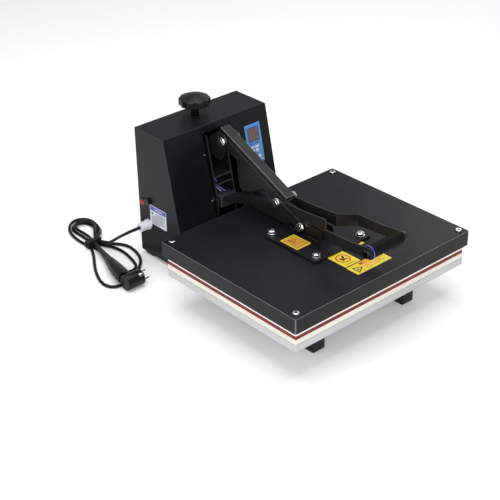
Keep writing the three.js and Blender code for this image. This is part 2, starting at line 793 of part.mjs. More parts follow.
function housing() {
  const outer = sidePlate(housingSide, -housingHalf, housingHalf);
  const w = housingWall;
  const innerOutline = outline([
    [skirtFront + w, housingBottom - 5],
    [housingBack + 5, housingBottom - 5],
    [housingBack + 5, housingTop - w],
    [frontY(housingTop) + w, housingTop - w],
    [frontY(skirtTop + 3) + w, skirtTop + 3],
    [skirtFront + w, skirtTop - w],
  ]);
  const inner = sidePlate(innerOutline, -housingHalf + w, housingHalf - w);
  const slotHalf = slotWidth / 2;
  const slotDepth = housingBack - housingTopDepth + 20;
  const slot = block(-slotHalf, slotHalf, skirtFront - 40, slotDepth, slotBottom, slotTop);
  const railGaps = sides.map(([, side]) => {
    const half = railWidth / 2 + gap;
    const middle = side * railCentre;
    return block(middle - half, middle + half, skirtFront - 5, skirtFront + 20, 0, railTop + gap);
  });
  const screwHole = rodZ(screwRadius + 4, housingTop - 10, housingTop + 10, { x: 0, y: screwY });
  const sideHoles = [
    rodX(switchRadius + gap, -housingHalf - 5, -housingHalf + 10, switchAt),
    rodX(fuseRadius + gap, -housingHalf - 5, -housingHalf + 10, fuseAt),
    rodX(glandRadius - 3 + gap, -housingHalf - 5, -housingHalf + 10, glandAt, 20),
  ];
  const window = faceBlock(panelWidth / 2 - 4, 4, panelLength - 4, -8, 8);
  return cut(outer, inner, slot, ...railGaps, screwHole, ...sideHoles, window);
}
add(frame, "housing_shell", housing(), blackPaint);

const backHalf = housingHalf - housingWall - gap;
const backCover = block(
  -backHalf,
  backHalf,
  housingBack - housingWall,
  housingBack,
  housingBottom + 1,
  housingTop - housingWall - gap,
);
add(frame, "housing_back_cover", backCover, framePaint);

// ---------- controls ----------
const keyRadius = 4;
const keyPlaces = [
  ["down", -7, 65],
  ["up", 5, 65],
  ["set", 10.5, 80],
];
const keyHoles = (radius, out0, out1) =>
  keyPlaces.map(([, x, down]) => onFace(rodZ(radius, out0, out1, { x, y: -down }, 20)));
const panelPlate = faceBlock(panelWidth / 2, 0, panelLength, gap, 1.8);
add(frame, "control_panel", cut(panelPlate, ...keyHoles(keyRadius + gap, -1, 4)), bluePanel);

const caseHalf = panelWidth / 2 - 4 - gap;
const caseDepth = 32;
const caseBlock = faceBlock(caseHalf, 4 + gap, panelLength - 4 - gap, -caseDepth, 0);
const keyTravel = 1.5;
add(frame, "controller_case", cut(caseBlock, ...keyHoles(keyRadius + gap, -4, 1)), blackPlastic);
for (const [label, x, down] of keyPlaces) {
  const capProfile = [
    [0, -keyTravel],
    [keyRadius, -keyTravel],
    [keyRadius, 2.4],
    [keyRadius - 1, 3.2],
    [0, 3.2],
  ];
  const cap = turned(capProfile, 20);
  add(frame, `panel_key_${label}`, onFace(cap.translate(x, -down, 0)), whitePlastic);
}

const wallFace = housingHalf;
function powerSwitch() {
  const bezel = rodX(switchRadius + 2, -wallFace - 2.3, -wallFace - gap, switchAt);
  const barrel = rodX(switchRadius, -wallFace - 1, -wallFace + 16, switchAt);
  const { y, z } = switchAt;
  const pocket = block(-wallFace - 5, -wallFace + 6, y - 6, y + 6, z - 7, z + 7);
  return cut(join(bezel, barrel), pocket);
}
add(frame, "power_switch_body", powerSwitch(), blackPlastic);

// The rocker paddle turns about an axis along Y, just behind the housing wall.
const paddle = new THREE.Shape(
  outline([
    [-wallFace + 4.5, -3.6],
    [-wallFace + 4.5, 3.6],
    [-wallFace - 2.2, 5.6, 1],
    [-wallFace - 3.4, 4.6, 0.8],
    [-wallFace - 1.6, 0, 12],
    [-wallFace - 3.4, -4.6, 0.8],
    [-wallFace - 2.2, -5.6, 1],
  ], 3),
);
const paddleSolid = new THREE.ExtrudeGeometry(paddle, { depth: 11, bevelEnabled: false });
paddleSolid.rotateX(Math.PI / 2).translate(0, switchAt.y + 5.5, switchAt.z);
add(frame, "power_rocker", paddleSolid, redPlastic);

function fuseHolder() {
  const cap = rodX(fuseRadius + 1.5, -wallFace - 7, -wallFace - gap, fuseAt);
  const barrel = rodX(fuseRadius, -wallFace - 1, -wallFace + 30, fuseAt);
  const { y, z } = fuseAt;
  const slot = block(-wallFace - 8, -wallFace - 6, y - 5, y + 5, z - 0.8, z + 0.8);
  return cut(join(cap, barrel), slot);
}
add(frame, "fuse_holder", fuseHolder(), blackPlastic);

const glandEnd = wallFace + 28;
function cordGland() {
  const flange = rodX(glandRadius + 1.5, -wallFace - 9, -wallFace - gap, glandAt, 6);
  const nut = rodX(glandRadius, -glandEnd, -wallFace - 8, glandAt, 16);
  const thread = rodX(glandRadius - 3, -wallFace - 1, -wallFace + 12, glandAt, 16);
  return join(flange, nut, thread);
}
add(frame, "cord_gland", cordGland(), whitePlastic);

// ---------- mains cord ----------
const cordRadius = cordDiameter / 2;
const cordRoute = [
  [-glandEnd, glandAt.y, glandAt.z],
  [-188, 398, 88],
  [-195, 404, 84],
  [-200, 414, 77],
  [-203, 427, 67.5],
  [-204.5, 442, 56.5],
  [-205, 458, 44.5],
  [-205, 474, 32],
  [-205, 489, 21],
  [-206, 503, 15.5],
  [-209, 515, 13.6],
  [-212, 525, 12.6],
].map(([x, y, z]) => new THREE.Vector3(x, y, z));
const circle = (radius, sides) => {
  const points = [];
  for (let k = 0; k < sides; k++) {
    const angle = (2 * Math.PI * k) / sides;
    points.push(new THREE.Vector2(radius * Math.cos(angle), radius * Math.sin(angle)));
  }
  return points;
};

// The spare cord is tied in a flat butterfly on the floor: one lobe behind the tie, one in front of it.
const hankBottom = 0.1;
const tieHeight = 22;
const rearLobeHeight = 2 * cordDiameter + 1.5;
const frontLobeHeight = cordDiameter + 0.7;
const tieOutline = (grow) => outline([
  [-243 - grow, 520 - grow, 8],
  [-203 + grow, 520 - grow, 8],
  [-203 + grow, 544 + grow, 8],
  [-243 - grow, 544 + grow, 8],
]);
const rearLobe = outline([
  [-240, 536],
  [-253, 575, 30],
  [-243, 628, 30],
  [-214, 672, 24],
  [-168, 674, 24],
  [-151, 634, 30],
  [-156, 585, 30],
  [-198, 534],
]);
const frontLobe = outline([
  [-235, 528],
  [-262, 484, 30],
  [-303, 428, 30],
  [-317, 384, 20],
  [-312, 345, 20],
  [-288, 337, 12],
  [-246, 341, 30],
  [-196, 361, 30],
  [-168, 392, 30],
  [-154, 450, 30],
  [-158, 496, 25],
  [-194, 522, 20],
  [-208, 530],
]);
function cordHank() {
  const tie = flatPlate(tieOutline(0), hankBottom, hankBottom + tieHeight);
  const rear = flatPlate(rearLobe, hankBottom, hankBottom + rearLobeHeight);
  const front = flatPlate(frontLobe, hankBottom, hankBottom + frontLobeHeight);
  return join(tie, rear, front);
}
add(frame, "cord_hank", cordHank(), blackRubber);

// Room kept round the tie, so that the cord and the plug's neck stop against its side.
const tieRoom = flatPlate(tieOutline(gap), -1, hankBottom + tieHeight + 30);
function cordTube() {
  const path = new THREE.CatmullRomCurve3(cordRoute);
  const section = new THREE.Shape(circle(cordRadius, 10));
  const tube = new THREE.ExtrudeGeometry(section, { steps: 14, extrudePath: path, bevelEnabled: false });
  const { y, z } = glandAt;
  const glandRoom = block(-glandEnd - gap, 0, y - 20, y + 20, z - 20, z + 20);
  return cut(tube, tieRoom, glandRoom);
}
add(frame, "power_cord", cordTube(), blackRubber);

// Angled two-pin plug standing on its round body, its neck resting over the front lobe.
const plugRadius = 19;
const plugAt = { y: 317, z: plugRadius + 0.2 };
const plugFace = -257;
const plugDepth = 32;
const pinLength = 19;
const pinSpacing = 19;
const pinRadius = 2.4;
const neckStart = new THREE.Vector3(-272, 330, 22.5);
const neckEnd = new THREE.Vector3(-228, 526, 14.5);
function mainsPlug() {
  const body = rodX(plugRadius, plugFace - plugDepth, plugFace, plugAt, 28);
  const neckLength = neckStart.distanceTo(neckEnd);
  const neckProfile = [
    [0, 0],
    [12.5, 0],
    [12, 50],
    [8, 75],
    [5.5, 130],
    [4.2, neckLength - 40],
    [4.2, neckLength],
    [0, neckLength],
  ];
  const neck = turned(neckProfile, 14);
  const lean = new THREE.Quaternion();
  lean.setFromUnitVectors(new THREE.Vector3(0, 0, 1), neckEnd.clone().sub(neckStart).normalize());
  neck.applyQuaternion(lean).translate(neckStart.x, neckStart.y, neckStart.z);
  const pins = [-1, 1].map((side) => {
    const offset = (side * pinSpacing * 0.5) / Math.SQRT2;
    const at = { y: plugAt.y + offset, z: plugAt.z + offset };
    return rodX(pinRadius, plugFace - 1, plugFace + pinLength, at, 10);
  });
  const lobeRoom = block(-330, -150, plugAt.y + 15, 560, -1, hankBottom + frontLobeHeight + gap);
  return cut(join(body, neck, ...pins), tieRoom, lobeRoom);
}
add(frame, "mains_plug", mainsPlug(), blackPlastic);

// The origin lies under the middle of the press, between the grip and the housing's back.
const pressFront = gripY - gripRadius;
press.position.y = -(pressFront + housingBack) / 2;

export default press;
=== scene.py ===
import json
import math

import bmesh
import bpy
from mathutils import Matrix, Vector

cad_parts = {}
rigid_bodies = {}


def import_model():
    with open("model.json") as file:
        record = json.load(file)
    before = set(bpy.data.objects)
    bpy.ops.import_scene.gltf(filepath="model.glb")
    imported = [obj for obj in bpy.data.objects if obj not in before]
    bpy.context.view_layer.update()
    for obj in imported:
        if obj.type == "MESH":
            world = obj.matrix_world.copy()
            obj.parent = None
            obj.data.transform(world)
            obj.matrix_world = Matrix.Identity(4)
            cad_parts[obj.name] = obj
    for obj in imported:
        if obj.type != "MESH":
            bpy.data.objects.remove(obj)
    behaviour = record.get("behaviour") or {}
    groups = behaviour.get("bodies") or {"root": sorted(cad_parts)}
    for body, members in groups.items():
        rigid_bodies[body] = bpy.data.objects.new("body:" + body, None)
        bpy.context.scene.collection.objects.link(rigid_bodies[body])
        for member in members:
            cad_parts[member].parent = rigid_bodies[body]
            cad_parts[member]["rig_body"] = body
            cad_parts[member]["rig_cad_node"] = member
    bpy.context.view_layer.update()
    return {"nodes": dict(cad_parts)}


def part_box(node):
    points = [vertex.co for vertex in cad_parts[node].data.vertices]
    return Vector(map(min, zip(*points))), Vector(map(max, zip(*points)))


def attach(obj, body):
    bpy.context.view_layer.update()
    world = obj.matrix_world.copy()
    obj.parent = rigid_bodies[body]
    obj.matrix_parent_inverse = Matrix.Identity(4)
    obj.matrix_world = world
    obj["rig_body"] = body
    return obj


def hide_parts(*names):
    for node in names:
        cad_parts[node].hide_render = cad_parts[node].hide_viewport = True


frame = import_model()

# ---------------------------------------------------------------------------
# Camera: a long lens, high on the left of the operator, looking down at the press.
# It stands where the whole press, its cord and a margin of floor fit the square frame.
# ---------------------------------------------------------------------------
camera_place = Vector((-1.6592, -1.7939, 1.4963))
camera_heading = math.radians(41.09)
camera_dip = math.radians(30.09)
camera_roll = math.radians(-1.02)

lens = bpy.data.cameras.new("camera")
lens.lens = 90.4
lens.sensor_width = 36
lens.clip_end = 50
camera = bpy.data.objects.new("camera", lens)
bpy.context.scene.collection.objects.link(camera)
aim = Matrix.Rotation(-camera_heading, 4, "Z") @ Matrix.Rotation(math.pi / 2 - camera_dip, 4, "X")
camera.matrix_world = Matrix.Translation(camera_place) @ aim @ Matrix.Rotation(camera_roll, 4, "Z")
bpy.context.scene.camera = camera

# ---------------------------------------------------------------------------
# Mains cord: round black PVC, from the gland down to the floor, then tied in a flat
# butterfly. It circles through the tie: right, round a rear turn, left, round a front turn.
# ---------------------------------------------------------------------------
mm = 0.001
cover_low, cover_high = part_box("upper_cover")
platen_middle_y = (cover_low.y + cover_high.y) / 2


def new_group(name, inputs, outputs):
    group = bpy.data.node_groups.new(name, "ShaderNodeTree")
    for label, kind, value in inputs:
        socket = group.interface.new_socket(label, in_out="INPUT", socket_type=kind)
        socket.default_value = value
    for label, kind in outputs:
        group.interface.new_socket(label, in_out="OUTPUT", socket_type=kind)
    start = group.nodes.new("NodeGroupInput")
    end = group.nodes.new("NodeGroupOutput")
    return group, start, end


def skin_group():
    """Dimples of a sprayed or moulded skin, as a height."""
    inputs = [("Dimple size", "NodeSocketFloat", 900.0)]
    outputs = [("Height", "NodeSocketFloat")]
    group, start, end = new_group("skin", inputs, outputs)
    place = group.nodes.new("ShaderNodeTexCoord")
    dimples = group.nodes.new("ShaderNodeTexNoise")
    dimples.inputs["Detail"].default_value = 3.0
    dimples.inputs["Roughness"].default_value = 0.6
    links = group.links
    links.new(place.outputs["Object"], dimples.inputs["Vector"])
    links.new(start.outputs["Dimple size"], dimples.inputs["Scale"])
    links.new(dimples.outputs["Fac"], end.inputs["Height"])
    return group


def patches_group():
    """Slow patches of dust and handling: a clean and a dusty colour, mixed by two noises."""
    inputs = [
        ("Clean", "NodeSocketColor", (0.02, 0.02, 0.02, 1)),
        ("Dusty", "NodeSocketColor", (0.05, 0.05, 0.05, 1)),
        ("Patch size", "NodeSocketFloat", 7.0),
        ("Smooth", "NodeSocketFloat", 0.35),
        ("Dull", "NodeSocketFloat", 0.55),
    ]
    outputs = [("Color", "NodeSocketColor"), ("Roughness", "NodeSocketFloat")]
    group, start, end = new_group("patches", inputs, outputs)
    place = group.nodes.new("ShaderNodeTexCoord")
    broad = group.nodes.new("ShaderNodeTexNoise")
    broad.inputs["Detail"].default_value = 5.0
    fine = group.nodes.new("ShaderNodeTexNoise")
    fine.inputs["Scale"].default_value = 260.0
    fine.inputs["Detail"].default_value = 4.0
    product = group.nodes.new("ShaderNodeMath")
    product.operation = "MULTIPLY"
    ramp = group.nodes.new("ShaderNodeMapRange")
    ramp.inputs["From Min"].default_value = 0.16
    ramp.inputs["From Max"].default_value = 0.42
    colour = group.nodes.new("ShaderNodeMix")
    colour.data_type = "RGBA"
    rough = group.nodes.new("ShaderNodeMapRange")
    links = group.links
    links.new(place.outputs["Object"], broad.inputs["Vector"])
    links.new(place.outputs["Object"], fine.inputs["Vector"])
    links.new(start.outputs["Patch size"], broad.inputs["Scale"])
    links.new(broad.outputs["Fac"], product.inputs[0])
    links.new(fine.outputs["Fac"], product.inputs[1])
    links.new(product.outputs[0], ramp.inputs["Value"])
    links.new(ramp.outputs["Result"], colour.inputs["Factor"])
    links.new(start.outputs["Clean"], colour.inputs["A"])
    links.new(start.outputs["Dusty"], colour.inputs["B"])
    links.new(ramp.outputs["Result"], rough.inputs["Value"])
    links.new(start.outputs["Smooth"], rough.inputs["To Min"])
    links.new(start.outputs["Dull"], rough.inputs["To Max"])
    links.new(colour.outputs["Result"], end.inputs["Color"])
    links.new(rough.outputs["Result"], end.inputs["Roughness"])
    return group


skin = skin_group()
patches = patches_group()


def finish(name, clean, dusty, smooth, dull, dimple=900.0, depth=0.1, patch=7.0, metallic=0.0, specular=0.5):
    """A painted, moulded or plated finish: colour patches, and a dimpled skin under the light."""
    material = bpy.data.materials.new(name)
    material.use_nodes = True
    nodes = material.node_tree.nodes
    links = material.node_tree.links
    shader = nodes["Principled BSDF"]
    shader.inputs["Metallic"].default_value = metallic
    shader.inputs["Specular IOR Level"].default_value = specular
    tone = nodes.new("ShaderNodeGroup")
    tone.node_tree = patches
    tone.inputs["Clean"].default_value = (*clean, 1)
    tone.inputs["Dusty"].default_value = (*dusty, 1)
    tone.inputs["Patch size"].default_value = patch
    tone.inputs["Smooth"].default_value = smooth
    tone.inputs["Dull"].default_value = dull
    relief = nodes.new("ShaderNodeGroup")
    relief.node_tree = skin
    relief.inputs["Dimple size"].default_value = dimple
    bump = nodes.new("ShaderNodeBump")
    bump.inputs["Strength"].default_value = depth
    bump.inputs["Distance"].default_value = 0.0005
    links.new(tone.outputs["Color"], shader.inputs["Base Color"])
    links.new(tone.outputs["Roughness"], shader.inputs["Roughness"])
    links.new(relief.outputs["Height"], bump.inputs["Height"])
    links.new(bump.outputs["Normal"], shader.inputs["Normal"])
    return material


cord_black = finish(
    "cord_black", (0.0025, 0.0025, 0.003), (0.005, 0.005, 0.006), smooth=0.26, dull=0.36,
    dimple=500, depth=0.05, patch=20, specular=0.22
)
cord_diameter = 7.5 * mm
on_floor = 3.95
on_top = 11.5
gland_low, gland_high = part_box("cord_gland")
gland_middle = (gland_low + gland_high) / 2
cord_exit = Vector((gland_low.x - 0.3 * mm, gland_middle.y, gland_middle.z))

# Millimetres, y from the middle of the platens, z from the floor.
falling_run = [
    (-188, 398, 88),
    (-195, 404, 84),
    (-200, 414, 77),
    (-203, 427, 67.5),
    (-204.5, 442, 56.5),
    (-205, 458, 44.5),
    (-205, 474, 32),
    (-205, 489, 21),
    (-206, 503, 15.5),
    (-209, 515, 13.6),
    (-212, 525, 12.6),
]
rear_outer = [
    (-213.5, 532, 12.6),
    (-208, 539.5, 13),
    (-200, 546, 13.5),
    (-190.5, 553, 12.5),
    (-181, 562, 9.5),
    (-172.5, 574, 5.5),
    (-166, 590, on_floor),
    (-160, 611, on_floor),
    (-158.3, 632, on_floor),
    (-163, 647.5, on_floor),
    (-173, 657.5, on_floor),
    (-187, 661, on_floor),
    (-201, 656, on_floor),
    (-213, 646, on_floor),
    (-222.5, 634, on_floor),
    (-230.5, 617, on_floor),
    (-236, 594, on_floor),
    (-238, 570, on_floor),
    (-237.5, 550, 4.0),
    (-237.5, 532, 4.2),
]
front_outer = [
    (-239, 520, 4.1),
    (-244, 508, on_floor),
    (-257.5, 483, on_floor),
    (-274, 457, on_floor),
    (-290, 430, on_floor),
    (-303, 402, on_floor),
    (-311, 376, on_floor),
    (-310.5, 356, on_floor),
    (-302, 342.5, on_floor),
    (-287, 337.5, on_floor),
    (-268, 338, on_floor),
    (-248, 344, on_floor),
    (-230, 354, on_floor),
    (-214, 366, on_floor),
    (-199.5, 379.5, on_floor),
    (-184.5, 397.5, on_floor),
    (-173.5, 421, on_floor),
    (-167.5, 447, on_floor),
    (-167.8, 471, on_floor),
    (-176, 490, on_floor),
    (-188, 505, on_floor),
    (-199, 516.5, 4.0),
    (-205, 524.5, 4.1),
]
rear_middle = [
    (-207.5, 532, 4.2),
    (-203, 541, 4.1),
    (-196.5, 550, 4.0),
    (-188, 562, on_floor),
    (-179.5, 577, on_floor),
    (-173, 595, on_floor),
    (-171, 612, on_floor),
    (-173, 626, on_floor),
    (-179.5, 636.5, on_floor),
    (-189.5, 642, on_floor),
    (-200.5, 641.5, on_floor),
    (-210, 636, on_floor),
    (-217, 626.5, on_floor),
    (-219.5, 613, on_floor),
    (-219.5, 595, on_floor),
    (-219.5, 578, on_floor),
    (-221, 560, on_floor),
    (-225.5, 545, 4.1),
    (-229.5, 532, 4.2),
]
front_inner = [
    (-230.5, 517, 4.1),
    (-229.5, 498, on_floor),
    (-229.5, 478, on_floor),
    (-232, 455, on_floor),
    (-237, 430, on_floor),
    (-245, 411, on_floor),
    (-250.5, 394, on_floor),
    (-246, 380, on_floor),
    (-235.5, 372, on_floor),
    (-222.5, 372, on_floor),
    (-211, 380.5, on_floor),
    (-202.5, 398, on_floor),
    (-196.5, 422, on_floor),
    (-192.3, 448, on_floor),
    (-192.8, 473, on_floor),
    (-198, 494, on_floor),
    (-207.5, 513.5, 4.0),
    (-212, 523, 4.1),
]
rear_inner = [
    (-215.5, 532, 4.2),
    (-211, 541, 4.6),
    (-204.5, 551, 6.5),
    (-197, 562, 9.2),
    (-188, 575, 11.0),
    (-179, 590, on_top),
    (-172.5, 604, on_top),
    (-171, 617, on_top),
    (-176.5, 629, on_top),
    (-187.5, 635.5, on_top),
    (-200, 634.5, on_top),
    (-210, 627, on_top),
    (-215.3, 614, on_top),
    (-216, 597, on_top),
    (-215.5, 580, on_top),
    (-216.5, 562, 11.7),
    (-219.5, 548, 12.2),
    (-222.5, 539.5, 12.6),
    (-223.5, 532, 12.8),
    (-226, 519, 13.4),
]
laid_route = falling_run + rear_outer + front_outer + rear_middle + front_inner + rear_inner


def from_platen(x, y, z):
    return Vector((x * mm, platen_middle_y + y * mm, z * mm))


def cord_points():
    return [cord_exit] + [from_platen(*point) for point in laid_route]


def cord_curve(points, radius):
    line = bpy.data.curves.new("mains_lead", "CURVE")
    line.dimensions = "3D"
    line.bevel_depth = radius
    line.bevel_resolution = 5
    line.resolution_u = 6
    line.use_fill_caps = True
    spline = line.splines.new("BEZIER")
    spline.bezier_points.add(len(points) - 1)
    for knot, point in zip(spline.bezier_points, points):
        knot.co = point
        knot.handle_left_type = "AUTO"
        knot.handle_right_type = "AUTO"
    lead = bpy.data.objects.new("mains_lead", line)
    bpy.context.scene.collection.objects.link(lead)
    return lead


mains_lead = cord_curve(cord_points(), cord_diameter / 2)
mains_lead.data.materials.append(cord_black)
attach(mains_lead, "frame")
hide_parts("power_cord", "cord_hank")

# ---------------------------------------------------------------------------
# Cable tie: a twisted black wire tie round the middle of the butterfly, a flat band
# that is wound twice round the bundle, its twisted end sticking out to the left.
# ---------------------------------------------------------------------------
tie_rubber = finish(
    "tie_rubber", (0.003, 0.003, 0.003), (0.008, 0.008, 0.008), smooth=0.4, dull=0.55,
    dimple=600, depth=0.1, patch=30, specular=0.3
)
tie_middle = from_platen(-223.5, 532, 10.2)
tie_size = (41.5 * mm, 17 * mm, 20 * mm)


def select_only(piece):
    bpy.ops.object.select_all(action="DESELECT")
    piece.select_set(True)
    bpy.context.view_layer.objects.active = piece


def pick_faces(piece, wanted):
    """In edit mode: selects faces by their middle and normal. It isn't reliable: a face that
    fails the test also drops the corners it shares, and so a neighbour picked before it."""
    bpy.ops.mesh.select_all(action="DESELECT")
    mesh = bmesh.from_edit_mesh(piece.data)
    for face in mesh.faces:
        face.select = wanted(face.calc_center_median(), face.normal)
    mesh.select_flush_mode()
    bmesh.update_edit_mesh(piece.data)


def settle():
    bpy.ops.object.transform_apply(location=True, rotation=True, scale=True)


def bevelled(piece, width, segments=3, angle=math.radians(30), bevel_highlight=-1):
    rounding = piece.modifiers.new("rounding", "BEVEL")
    rounding.width = width
    rounding.segments = segments
    rounding.limit_method = "ANGLE"
    rounding.angle_limit = angle
    rounding.use_clamp_overlap = True
    # The bevel faces can take a second material slot: a painted highlight along the edges.
    rounding.material = bevel_highlight
    select_only(piece)
    bpy.ops.object.modifier_apply(modifier=rounding.name)
    bpy.ops.object.shade_smooth_by_angle(angle=math.radians(40))
    return piece


def join_all(name, pieces):
    bpy.ops.object.select_all(action="DESELECT")
    for piece in pieces:
        piece.select_set(True)
    bpy.context.view_layer.objects.active = pieces[0]
    bpy.ops.object.join()
    whole = bpy.context.active_object
    whole.name = name
    return whole


def tie_band(shift, grow):
    bpy.ops.mesh.primitive_cube_add(size=1, location=tie_middle + Vector((0, shift, 0)))
    band = bpy.context.active_object
    band.scale = (tie_size[0] + grow, 7.5 * mm, tie_size[2] + grow)
    settle()
    bpy.ops.object.mode_set(mode="EDIT")
    pick_faces(band, lambda middle, normal: abs(normal.y) > 0.9)
    bpy.ops.mesh.delete(type="FACE")
    bpy.ops.object.mode_set(mode="OBJECT")
    bevelled(band, 8.5 * mm, 6)
    wall = band.modifiers.new("wall", "SOLIDIFY")
    wall.thickness = 1.4 * mm
    wall.offset = -1
    select_only(band)
    bpy.ops.object.modifier_apply(modifier=wall.name)
    return bevelled(band, 0.4 * mm, 2)


def tie_tail():
    bpy.ops.mesh.primitive_cylinder_add(
        vertices=12,
        radius=1.9 * mm,
        depth=15 * mm,
        location=from_platen(-247, 527, 12.5),
        rotation=(0.2, -1.15, 0.35),
    )
    tail = bpy.context.active_object
    settle()
    return bevelled(tail, 0.8 * mm, 2)


cable_tie = join_all("cable_tie", [tie_band(-4.5 * mm, 0), tie_band(3.5 * mm, -0.6 * mm), tie_tail()])
cable_tie.data.materials.append(tie_rubber)
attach(cable_tie, "frame")

# ---------------------------------------------------------------------------
# Mains plug: an angled two-pin plug moulded in black PVC, with a flat-sided body that
# narrows into a ribbed strain relief, two plated pins and two earth contacts in its sides.
# ---------------------------------------------------------------------------
plug_black = finish(
    "plug_black", (0.003, 0.003, 0.0035), (0.008, 0.008, 0.009), smooth=0.3, dull=0.42,
    dimple=700, depth=0.08, patch=25, specular=0.24
)
plug_metal = finish(
    "plug_metal", (0.72, 0.72, 0.70), (0.5, 0.5, 0.49), smooth=0.16, dull=0.3, dimple=300,
    depth=0.02, patch=60, metallic=1
)
plug_low, plug_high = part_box("mains_plug")
plug_radius = 18.6 * mm
pin_length = 19 * mm
plug_face_x = plug_high.x - pin_length
plug_back_x = plug_low.x + 0.4 * mm
plug_front_y = plug_low.y
plug_centre = Vector(((plug_face_x + plug_back_x) / 2, plug_front_y + 19 * mm, 19.2 * mm))
plug_depth = plug_face_x - plug_back_x


def pick_end(body, side):
    """In edit mode: selects the flat end of the body that faces along x or against it."""
    bpy.ops.mesh.select_all(action="DESELECT")
    mesh = bmesh.from_edit_mesh(body.data)
    for face in mesh.faces:
        if face.normal.x * side > 0.9:
            face.select = True
    bmesh.update_edit_mesh(body.data)


def moulded_body():
    bpy.ops.mesh.primitive_cylinder_add(
        vertices=48,
        radius=plug_radius,
        depth=plug_depth,
        location=plug_centre,
        rotation=(0, math.pi / 2, 0),
    )
    body = bpy.context.active_object
    body.name = "plug_body"
    settle()
    bpy.ops.object.mode_set(mode="EDIT")
    pick_end(body, 1)
    bpy.ops.mesh.inset(thickness=2.2 * mm)
    bpy.ops.mesh.extrude_region_move(TRANSFORM_OT_translate={"value": (1.4 * mm, 0, 0)})
    bpy.ops.mesh.inset(thickness=3.4 * mm)
    bpy.ops.mesh.extrude_region_move(TRANSFORM_OT_translate={"value": (-1.0 * mm, 0, 0)})
    pick_end(body, -1)
    bpy.ops.mesh.inset(thickness=4 * mm)
    bpy.ops.transform.translate(value=(-0.3 * mm, 0, 0))
    bpy.ops.object.mode_set(mode="OBJECT")
    return bevelled(body, 1.2 * mm)


plug_body = moulded_body()
neck_start = from_platen(-277, 334, 21.0)
neck_end = from_platen(-226.6, 521, 13.6)
neck_line = neck_end - neck_start
neck_profile = [
    (0.000, 15.0, 14.0),
    (0.060, 17.0, 14.6),
    (0.170, 17.6, 13.6),
    (0.300, 15.8, 11.8),
    (0.420, 13.0, 10.0),
    (0.500, 11.2, 8.8),
    (0.510, 9.6, 7.6),
    (0.560, 9.2, 7.3),
    (0.565, 8.6, 6.8),
    (0.600, 8.4, 6.7),
    (0.605, 7.9, 6.4),
    (0.640, 7.7, 6.3),
    (0.645, 7.2, 6.0),
    (0.680, 7.0, 5.9),
    (0.685, 6.5, 5.6),
    (0.730, 6.3, 5.5),
    (0.735, 5.9, 5.2),
    (0.790, 5.6, 5.1),
    (0.795, 5.2, 4.8),
    (0.880, 4.9, 4.6),
    (0.985, 4.3, 4.3),
]


def moulded_neck():
    """The moulded grip and strain relief: rings of a flattened round section along the neck."""
    turn = Vector((0, 0, 1)).rotation_difference(neck_line).to_matrix().to_4x4()
    place = Matrix.Translation(neck_start) @ turn
    mesh = bmesh.new()
    sides = 28
    rings = []
    for share, half_wide, half_high in neck_profile:
        ring = []
        for k in range(sides):
            angle = 2 * math.pi * k / sides
            c = math.copysign(abs(math.cos(angle)) ** 0.75, math.cos(angle))
            s = math.copysign(abs(math.sin(angle)) ** 0.75, math.sin(angle))
            point = place @ Vector((half_wide * mm * c, half_high * mm * s, share * neck_line.length))
            point.z = max(point.z, 8.7 * mm)
            ring.append(mesh.verts.new(point))
        rings.append(ring)
    for lower, upper in zip(rings, rings[1:]):
        for k in range(sides):
            mesh.faces.new((lower[k], lower[(k + 1) % sides], upper[(k + 1) % sides], upper[k]))
    mesh.faces.new(reversed(rings[0]))
    mesh.faces.new(rings[-1])
    bmesh.ops.recalc_face_normals(mesh, faces=mesh.faces)
    data = bpy.data.meshes.new("plug_neck")
    mesh.to_mesh(data)
    mesh.free()
    neck = bpy.data.objects.new("plug_neck", data)
    bpy.context.scene.collection.objects.link(neck)
    select_only(neck)
    bpy.ops.object.shade_smooth_by_angle(angle=math.radians(35))
    return neck


plug_neck = moulded_neck()

# Each earth contact: a strip along the rim, two legs bent over the face, and a bar that
# joins them.
contact_bars = [
    (Vector((plug_depth / 2 - 6.5 * mm, plug_radius + 0.2 * mm, 0)), (13 * mm, 1.6 * mm, 7 * mm)),
    (Vector((plug_depth / 2 + 0.6 * mm, plug_radius - 4.2 * mm, 2.9 * mm)), (1.6 * mm, 9 * mm, 1.6 * mm)),
    (Vector((plug_depth / 2 + 0.6 * mm, plug_radius - 4.2 * mm, -2.9 * mm)), (1.6 * mm, 9 * mm, 1.6 * mm)),
    (Vector((plug_depth / 2 + 0.6 * mm, plug_radius - 8.2 * mm, 0)), (1.6 * mm, 1.8 * mm, 7 * mm)),
]


def pins_and_contacts():
    made = []
    for side in (-1, 1):
        offset = side * 9.5 * mm / math.sqrt(2)
        pin_middle_x = plug_face_x + pin_length / 2 - 0.4 * mm
        middle = Vector((pin_middle_x, plug_centre.y + offset, plug_centre.z + offset))
        bpy.ops.mesh.primitive_cylinder_add(
            vertices=20, radius=2.35 * mm, depth=pin_length, location=middle, rotation=(0, math.pi / 2, 0)
        )
        pin = bpy.context.active_object
        settle()
        bevelled(pin, 1.2 * mm, 4)
        made.append(pin)
        contact_turn = Matrix.Rotation(math.radians(-45 if side > 0 else 135), 4, "X")
        for middle, size in contact_bars:
            bpy.ops.mesh.primitive_cube_add(size=1)
            bar = bpy.context.active_object
            bar.scale = size
            settle()
            bevelled(bar, 0.4 * mm, 2)
            bar.matrix_world = Matrix.Translation(plug_centre) @ contact_turn @ Matrix.Translation(middle)
            settle()
            made.append(bar)
    return join_all("plug_pins", made)


plug_pins = pins_and_contacts()
for piece, look in ((plug_body, plug_black), (plug_neck, plug_black), (plug_pins, plug_metal)):
    piece.data.materials.clear()
    piece.data.materials.append(look)
    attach(piece, "frame")
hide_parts("mains_plug")
